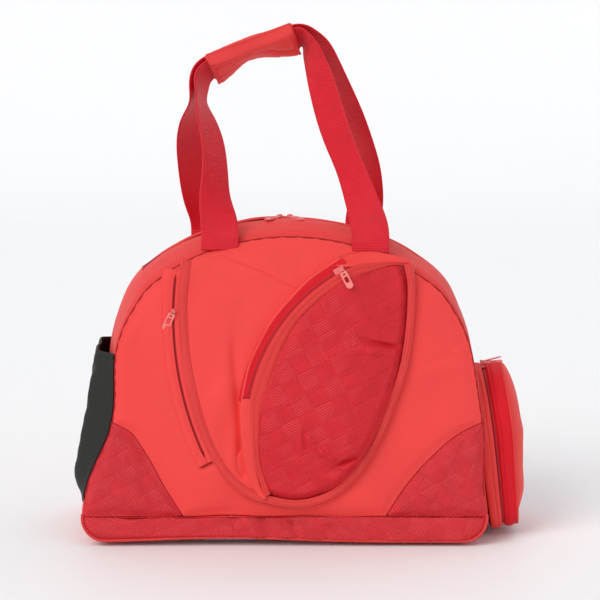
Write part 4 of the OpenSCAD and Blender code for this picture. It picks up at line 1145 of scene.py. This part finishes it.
def end_ring_cloth(name, rows, material, hides, folds, seed, thick=1.0):
    """Cloth round the pocket. rows are (distance out from the end panel, height off the outline)."""
    u = np.array([r[0] for r in rows])[:, None]
    off = np.array([r[1] for r in rows])[:, None]
    t = np.linspace(0, 1, len(rows))[:, None]
    loose = np.sin(pi * t) ** 0.7
    line = np.arange(END_COUNT)[None] * 1.6
    off = (off + folds * loose * (0.75 * ripple(line, u * 2.2, 64, seed)
                                  + 0.45 * ripple(line * 1.1, u * 3, 24, seed + 4)))
    u = u + 0.5 * folds * loose * ripple(line, u, 70, seed + 7)
    p = END_LINE[None] + END_OUT[None] * off[..., None]
    points = on_end(p[..., 0], p[..., 1], u)
    uv = np.stack([u + 0 * off, line + 0 * off], -1)
    faces = [tuple(reversed(f)) for f in grid_faces(len(rows), END_COUNT, wrap=True)]
    return make(name, points.reshape(-1, 3), faces, material, hides, uv.reshape(-1, 2), thick)


end_ring_cloth("end_pocket_band_cloth", [(0.4, -1.2), (0.6, -0.4), (1.4, 0.3), (3, 0.9), (5, 1.1), (7.5, 1.1),
                                         (9.4, 0.8), (9.8, 0.45), (10.3, 0.75),
                                         (12, 0.6), (13.6, 0.35), (14.3, -0.1), (14.4, -0.8), (13.9, -1.5)],
                                         coral, ["end_pocket_band"], 0.8, 3)
end_ring_cloth("end_pocket_wall_cloth", [(21.3, -1.5), (20.8, -0.8), (20.9, -0.1), (21.6, 0.3), (23, 0.45),
                                         (23.5, 0.1), (24, 0.45), (26.5, 0.6), (29, 0.4),
                                         (31.5, 0.1), (33.5, -0.3), (35.2, -1.0), (35.9, -2.0)], bright_tape,
                                         ["end_pocket_wall"], 0.9, 8)
end_ring_cloth("end_pocket_seam_roll", [(35.3, -2.4), (35.2, -0.9), (35.6, 0.2), (36.4, 0.9), (37.4, 1.0),
                                        (38.2, 0.5), (38.6, -0.6), (38.6, -1.8)], trim, (), 0.25, 5, 0)


def face_u(inset, y, w):
    """Distance of the pocket's padded face from the end panel."""
    dome = np.interp(inset, [0, 1.2, 3, 6, 10, 15, 22, 32, 42, 63],
                     [37.2, 39.6, 41.8, 43.8, 45.8, 47.3, 48.7, 49.5, 49.9, 50.2])
    soft = smooth01(inset / 14)
    low = 7.5 * smooth01((16 - w) / 34) * smooth01(inset / 5)
    return dome + soft * (0.9 * ripple(y, w, 90, 12) + 0.35 * ripple(y, w, 34, 16)) - low


def end_face(count=300, rings=44):
    centre = np.array([0.0, 45.0])
    edge = even(end_outline(0.2), count, closed=True)
    rows, ups = [], []
    for s in np.linspace(0.02, 1, rings):
        p = centre + (edge - centre) * s
        inset = (1 - s) * np.linalg.norm(edge - centre, axis=1) * 0.8
        rows.append(p)
        ups.append(face_u(inset, p[:, 0], p[:, 1]))
    rows, ups = np.array(rows), np.array(ups)
    points = on_end(rows[..., 0], rows[..., 1], ups).reshape(-1, 3)
    points = np.vstack([points, on_end(0.0, 45.0, 50.2)])
    faces = grid_faces(rings, count, wrap=True) + [(rings * count, (j + 1) % count, j) for j in range(count)]
    faces = [tuple(reversed(f)) for f in faces]
    return points, faces, np.vstack([rows.reshape(-1, 2), centre])


cloth("end_pocket_face_cloth", end_face(), coral, ["end_pocket_face"], thick=1.4)
ring = np.vstack([END_LINE, END_LINE[:1]])
ring_out = np.vstack([END_OUT, END_OUT[:1]])
mid = ring - ring_out * 2.8
out3 = np.stack([-ring_out[:, 1] * ST, ring_out[:, 0], ring_out[:, 1] * CT], 1)
zip_rows("end_zip", on_end(mid[:, 0], mid[:, 1], 17.5), out3, np.broadcast_to([CT, 0.0, ST], out3.shape),
         "end_zip_coil", ["end_zip_tape"], 0.8, 8.6,
         bright_tape)

# ---------------------------------------------------------------- bottle pocket
def bottle_point(z, v, more=0.0):
    """The pocket's cloth: against the end panel at its sewn sides and foot, standing off between them."""
    z = z - 1.5 * v * smooth01((z - 60) / 90) + 5.0 * (v + 1) * smooth01((90 - z) / 40)
    stand = np.interp(z, [46, 52, 58, 66, 80, 110, 150, 208, 230],
                      [-2.5, 1.2, 6.5, 10.5, 13.6, 14.2, 13.6, 11.0, 10.5])
    rim_off = stand + seam_inset(z) * np.abs(v) ** 2.5
    sewn = smooth01((np.abs(v) - 0.66) / 0.32)
    s = S_END - side_s(z)
    folds = 1.1 * ripple(z * 0.5, v * 60, 46, 9) + 1.0 * ripple(z + 60 * v, v * 20, 30, 13)
    folds = (folds - 1.6 * bell(z - 170 - 60 * (v + 0.9), 6) * smooth01((-v - 0.2) / 0.3)
             + 0.25 * np.sin(v * 95) * smooth01((z - 168) / 25))
    free = unsettled(s, v, rim_off + more + folds * smooth01((z - 52) / 20))
    held = gusset_xyz(s, v, 1.1 + more)
    return free * (1 - sewn)[..., None] + held * sewn[..., None]


def unsettled(s, v, out):
    """A point off the gusset with most of the bag's settling taken back, since the pocket follows it less."""
    p = gusset_xyz(s, v, out)
    p[..., 0] -= 0.62 * settle(p[..., 0], p[..., 2], v)
    return p


BOTTLE_COLS = 110


def bottle_cloth(name, z_rows, offsets, hides, thick):
    v = np.linspace(-0.975, 0.975, BOTTLE_COLS)[None]
    z = np.array(z_rows, float)[:, None]
    z, v = np.broadcast_arrays(z, v)
    points = bottle_point(z, v, np.array(offsets, float)[:, None])
    uv = np.stack([v * 72, z], -1)
    return make(name, points.reshape(-1, 3), grid_faces(len(z_rows), BOTTLE_COLS), stretch, hides,
                uv.reshape(-1, 2), thick)


bottle = bottle_cloth("bottle_pocket_cloth", np.linspace(47, 197, 70), np.zeros(70),
                      ["bottle_pocket_face", "bottle_pocket_side_front", "bottle_pocket_side_rear"], 1.0)
hem = bottle_cloth("bottle_pocket_hem_cloth", [193, 192.6, 192.8, 193.4, 195, 197.5, 200, 201.6, 202.4, 202.6,
                                               202.2, 200.6, 196],
                   [-0.1, 0.3, 0.7, 1.0, 1.15, 1.15, 1.05, 0.8, 0.3, -0.5, -1.3, -1.8, -1.7],
                   ["bottle_pocket_hem"], 0)

# ---------------------------------------------------------------- handles
GRIP_A, GRIP_B, GRIP_ROLL = np.array([-79.0, -4, 504]), np.array([12.0, -4, 538]), radians(54)
GRIP_L = np.linalg.norm(GRIP_B - GRIP_A)
GRIP_TOP = 25
rise = atan2(GRIP_B[2] - GRIP_A[2], GRIP_B[0] - GRIP_A[0])
GRIP_X = np.array([cos(rise), 0, sin(rise)])
GRIP_Y = np.array([-sin(rise) * sin(GRIP_ROLL), cos(GRIP_ROLL), cos(rise) * sin(GRIP_ROLL)])
GRIP_Z = np.cross(GRIP_X, GRIP_Y)


def grip_xyz(d, y, z, place=True):
    """A point of the grip: d along it, y to the rear, z to its top edge. Its middle rolls back."""
    d, y, z = (np.asarray(q, float)[..., None] for q in (d, y, z))
    turn = radians(20) * bell(d - 45, 34)
    back = GRIP_Y * np.cos(turn) + GRIP_Z * np.sin(turn)
    up = GRIP_Z * np.cos(turn) - GRIP_Y * np.sin(turn)
    if not place:
        return -up
    return GRIP_A + d * GRIP_X + GRIP_Z * GRIP_TOP + y * back + (z - GRIP_TOP) * up


def in_grip(d, back):
    return [*grip_xyz(d, back, 0.0), *grip_xyz(d, 0.0, 0.0, place=False)]


STRAP_HALF, FOOT_DROP = 20, 13
GRIP_STOPS = (-9, -3, 15, 30, 45, 60, 75, GRIP_L + 3, GRIP_L + 9)
front_path = [
    [-69, -61.5, 327, 1, 0, 0], [-69.5, -59.5, 342, 0.98, 0.15, 0.05], [-74, -50, 370, 0.75, 0.62, 0],
    [-74, -42, 399, 0.62, 0.78, 0], [-77, -33, 427, 0.55, 0.82, 0], [-84, -24, 451, 0.4, 0.9, 0],
    [-91, -14, 474, 0.12, 1, 0], [-91, -7, 490, 0.4, 0.8, -0.35], *[in_grip(d, 0) for d in GRIP_STOPS],
    [29, -9, 523, -0.4, 0.8, -0.5], [42, -20, 482, -0.7, 0.7, -0.1], [55, -32, 438, -0.76, 0.64, 0],
    [71, -43, 397, -0.72, 0.68, 0], [84, -53, 360, -0.85, 0.45, 0], [91.3, -59.5, 338, -0.98, 0.15, 0],
    [92, -61.5, 323, -1, 0, 0],
]
rear_path = [
    [-86, 61.5, 324.5, 1, 0, 0], [-87, 59.5, 339, 0.97, 0.2, 0], [-98, 47, 370, 0.85, 0.5, 0],
    [-103, 38, 400, 0.75, 0.65, 0], [-106, 27, 430, 0.6, 0.78, 0], [-104, 14, 455, 0.4, 0.9, 0],
    [-96, 0, 477, 0.14, 1, 0], [-94, -4, 493, 0.4, 0.8, -0.35], *[in_grip(d, 3.8) for d in GRIP_STOPS],
    [36, 4, 529, -0.4, 0.75, -0.5], [52, 12, 500, -0.66, 0.74, -0.1], [67, 22, 465, -0.7, 0.7, 0],
    [80, 31, 431, -0.7, 0.7, 0], [90, 40, 398, -0.74, 0.66, 0], [92, 52, 362, -0.85, 0.5, 0],
    [87.7, 59.5, 339, -0.98, 0.15, 0], [87, 61.5, 324.5, -1, 0, 0],
]


def strap(name, path, seed, hides):
    """Webbing a little dished across, with its sewn ends run down behind the seam.

    It follows the CAD's path, apart from the middle, where the grip rolls back.
    """
    p = even(curved(path, 6), 200)
    for _ in range(14):
        p[1:-1] = 0.25 * p[:-2] + 0.5 * p[1:-1] + 0.25 * p[2:]
    place, side = p[:, :3], p[:, 3:]
    for end in (0, -1):
        tail = place[end] + np.array([[0, 0, -1.0]]) * np.linspace(FOOT_DROP, 1.5, 6)[:, None]
        tails = np.repeat(side[end][None], 6, 0)
        if end == 0:
            place, side = np.vstack([tail, place]), np.vstack([tails, side])
        else:
            place, side = np.vstack([place, tail[::-1]]), np.vstack([side, tails])
    t = unit(np.gradient(place, axis=0))
    side = unit(side - t * (side * t).sum(1)[:, None])
    up = np.cross(t, side)
    along = lengths(place)
    q = np.array([-1, -0.985, -0.93, -0.84, -0.6, -0.3, 0, 0.3, 0.6, 0.84, 0.93, 0.985, 1])
    edge = np.array([0, 0.62, 0.95, 0.8, 1, 1, 1, 1, 1, 0.8, 0.95, 0.62, 0])
    loose = smooth01((along - 25) / 40) * smooth01((along[-1] - 25 - along) / 40)
    grip_part = smooth01((np.abs(along - along[-1] / 2) - 46) / 20)
    dish = (1.2 * np.sin(along / 38 + seed) * loose * grip_part)[:, None] * (q ** 2 - 0.4)[None]
    wobble = (0.5 * np.sin(along / 17 + 2 * seed) * loose * grip_part)[:, None] * q[None]
    rows = []
    for half, order in ((1.1, slice(None)), (-1.1, slice(-2, 0, -1))):
        qq, ee = q[order], edge[order]
        h = dish[:, order] + wobble[:, order] + half * ee[None]
        rows.append(place[:, None] + side[:, None] * (qq[None] * STRAP_HALF)[..., None]
                    + up[:, None] * h[..., None])
    rows = np.concatenate(rows, 1)
    across = np.concatenate([q, q[-2:0:-1]])[None] * STRAP_HALF
    uv = np.stack(np.broadcast_arrays(across, along[:, None]), -1)
    m = rows.shape[1]
    faces = grid_faces(len(place), m, wrap=True) + [tuple(range(m))[::-1],
                                                    tuple(range((len(place) - 1) * m, len(place) * m))]
    piece = make(name, rows.reshape(-1, 3), faces, webbing, hides, uv.reshape(-1, 2),
                 body=None)
    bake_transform(piece)
    return piece


strap("handle_front_strap", front_path, 0.6, ["handle_front_webbing", "handle_anchor_front"])
strap("handle_rear_strap", rear_path, 2.1, ["handle_rear_webbing", "handle_anchor_rear"])

# ---------------------------------------------------------------- grip wrap and flap
WRAP_SIDES = 96
ring_a = np.linspace(0, 2 * pi, WRAP_SIDES, endpoint=False)


def wrap_ring(d, grow):
    """One section of the wrap: y to the rear, z to the top edge."""
    c, s = np.cos(ring_a), np.sin(ring_a)
    y = 1.9 + (5.6 + grow) * np.sign(c) * np.abs(c) ** 0.75
    z = (22.6 + grow) * np.sign(s) * np.abs(s) ** 0.82
    soft = 0.7 * ripple(d + 0 * c, z, 34, 3) + 0.35 * ripple(d + 4 * c, z * 2, 15, 6)
    return grip_xyz(d + 0 * c, y + soft * c, z + soft * s * 0.6)


wrap_d = ([3.0, 0.6, -0.8, -1.2, -0.9, 0.2, 1.6, 2.2, 3.0, 4.2] + list(np.linspace(6, GRIP_L - 6, 60))
          + [GRIP_L - v for v in (4.2, 3.0, 2.2, 1.6, 0.2, -0.9, -1.2, -0.8, 0.6, 3.0)])
wrap_grow = ([-3.4, -2.6, -1.5, -0.6, 0.2, 0.9, 1.0, 0.55, 0.9, 1.2] + [1.2] * 60
             + [1.2, 0.9, 0.55, 1.0, 0.9, 0.2, -0.6, -1.5, -2.6, -3.4])
rows = np.array([wrap_ring(d, g) for d, g in zip(wrap_d, wrap_grow)])
uv = np.stack(np.broadcast_arrays(ring_a[None] * 16, np.array(wrap_d)[:, None]), -1)
grip_wrap = make("grip_wrap_cloth", rows.reshape(-1, 3), grid_faces(len(wrap_d), WRAP_SIDES, wrap=True),
                 coral_top,
                 ["grip_wrap", "grip_loop_strip"], uv.reshape(-1, 2), 1.2, body="rear_handle")

flap_z = np.concatenate([np.linspace(25.6, 24.4, 4), np.linspace(23.4, -24.6, 46)])
flap_d = np.linspace(0.6, GRIP_L - 0.6, 110)
dd, zz = np.meshgrid(flap_d, flap_z, indexing="ij")
roll_line = 10 - 21 * smooth01((dd - 42) / 55) + 1.2 * np.sin(dd / 17)
upper = np.clip((zz - roll_line) / (24 - roll_line), 0, 1)
lower = np.clip((roll_line - zz) / (roll_line + 24.6), 0, 1)
puff = 3.4 * np.sin(pi * upper) ** 0.7 + 2.2 * np.sin(pi * lower) ** 0.7
puff = puff - 1.6 * bell(zz - roll_line, 1.6)
puff = puff - 1.0 * bell(zz + 10 - 2.4 * np.sin(dd / 26 + 2.2), 1.5) * smooth01((60 - dd) / 40)
puff = puff + 0.8 * ripple(dd, zz, 40, 5) + 0.4 * ripple(dd * 1.2, zz, 16, 2)
at_end = np.minimum(dd - flap_d[0], flap_d[-1] - dd)
puff = puff * smooth01(at_end / 5) - 0.7 * bell(at_end - 3.2, 0.8)
yy = -7.4 - puff
over = smooth01((zz - 20.5) / 5)
yy = yy * (1 - over) + 1.5 * over
zz2 = zz + 0.9 * over
points = grip_xyz(dd, yy, zz2)
flap = make("grip_flap_cloth", points.reshape(-1, 3), grid_faces(*dd.shape), coral_top,
            ["grip_flap", "grip_hook_strip"], np.stack([zz, dd], -1).reshape(-1, 2), 1.6, body="grip_flap")

# ---------------------------------------------------------------- CAD nodes that stay in view
KEPT = {
    enamel: ["main_slider_left", "main_slider_right", "petal_slider", "leaf_slider", "end_slider_front",
             "end_slider_rear", "main_zip_stops"],
    pull_rubber: ["main_pull_left", "main_pull_right", "petal_pull", "leaf_pull", "end_pull_front",
                  "end_pull_rear"],
    lining_cloth: ["lining"],
    board: ["base_board"],
}
for material, nodes in KEPT.items():
    for node in nodes:
        part = bpy.data.objects[node]
        part.data.materials.clear()
        part.data.materials.append(material)
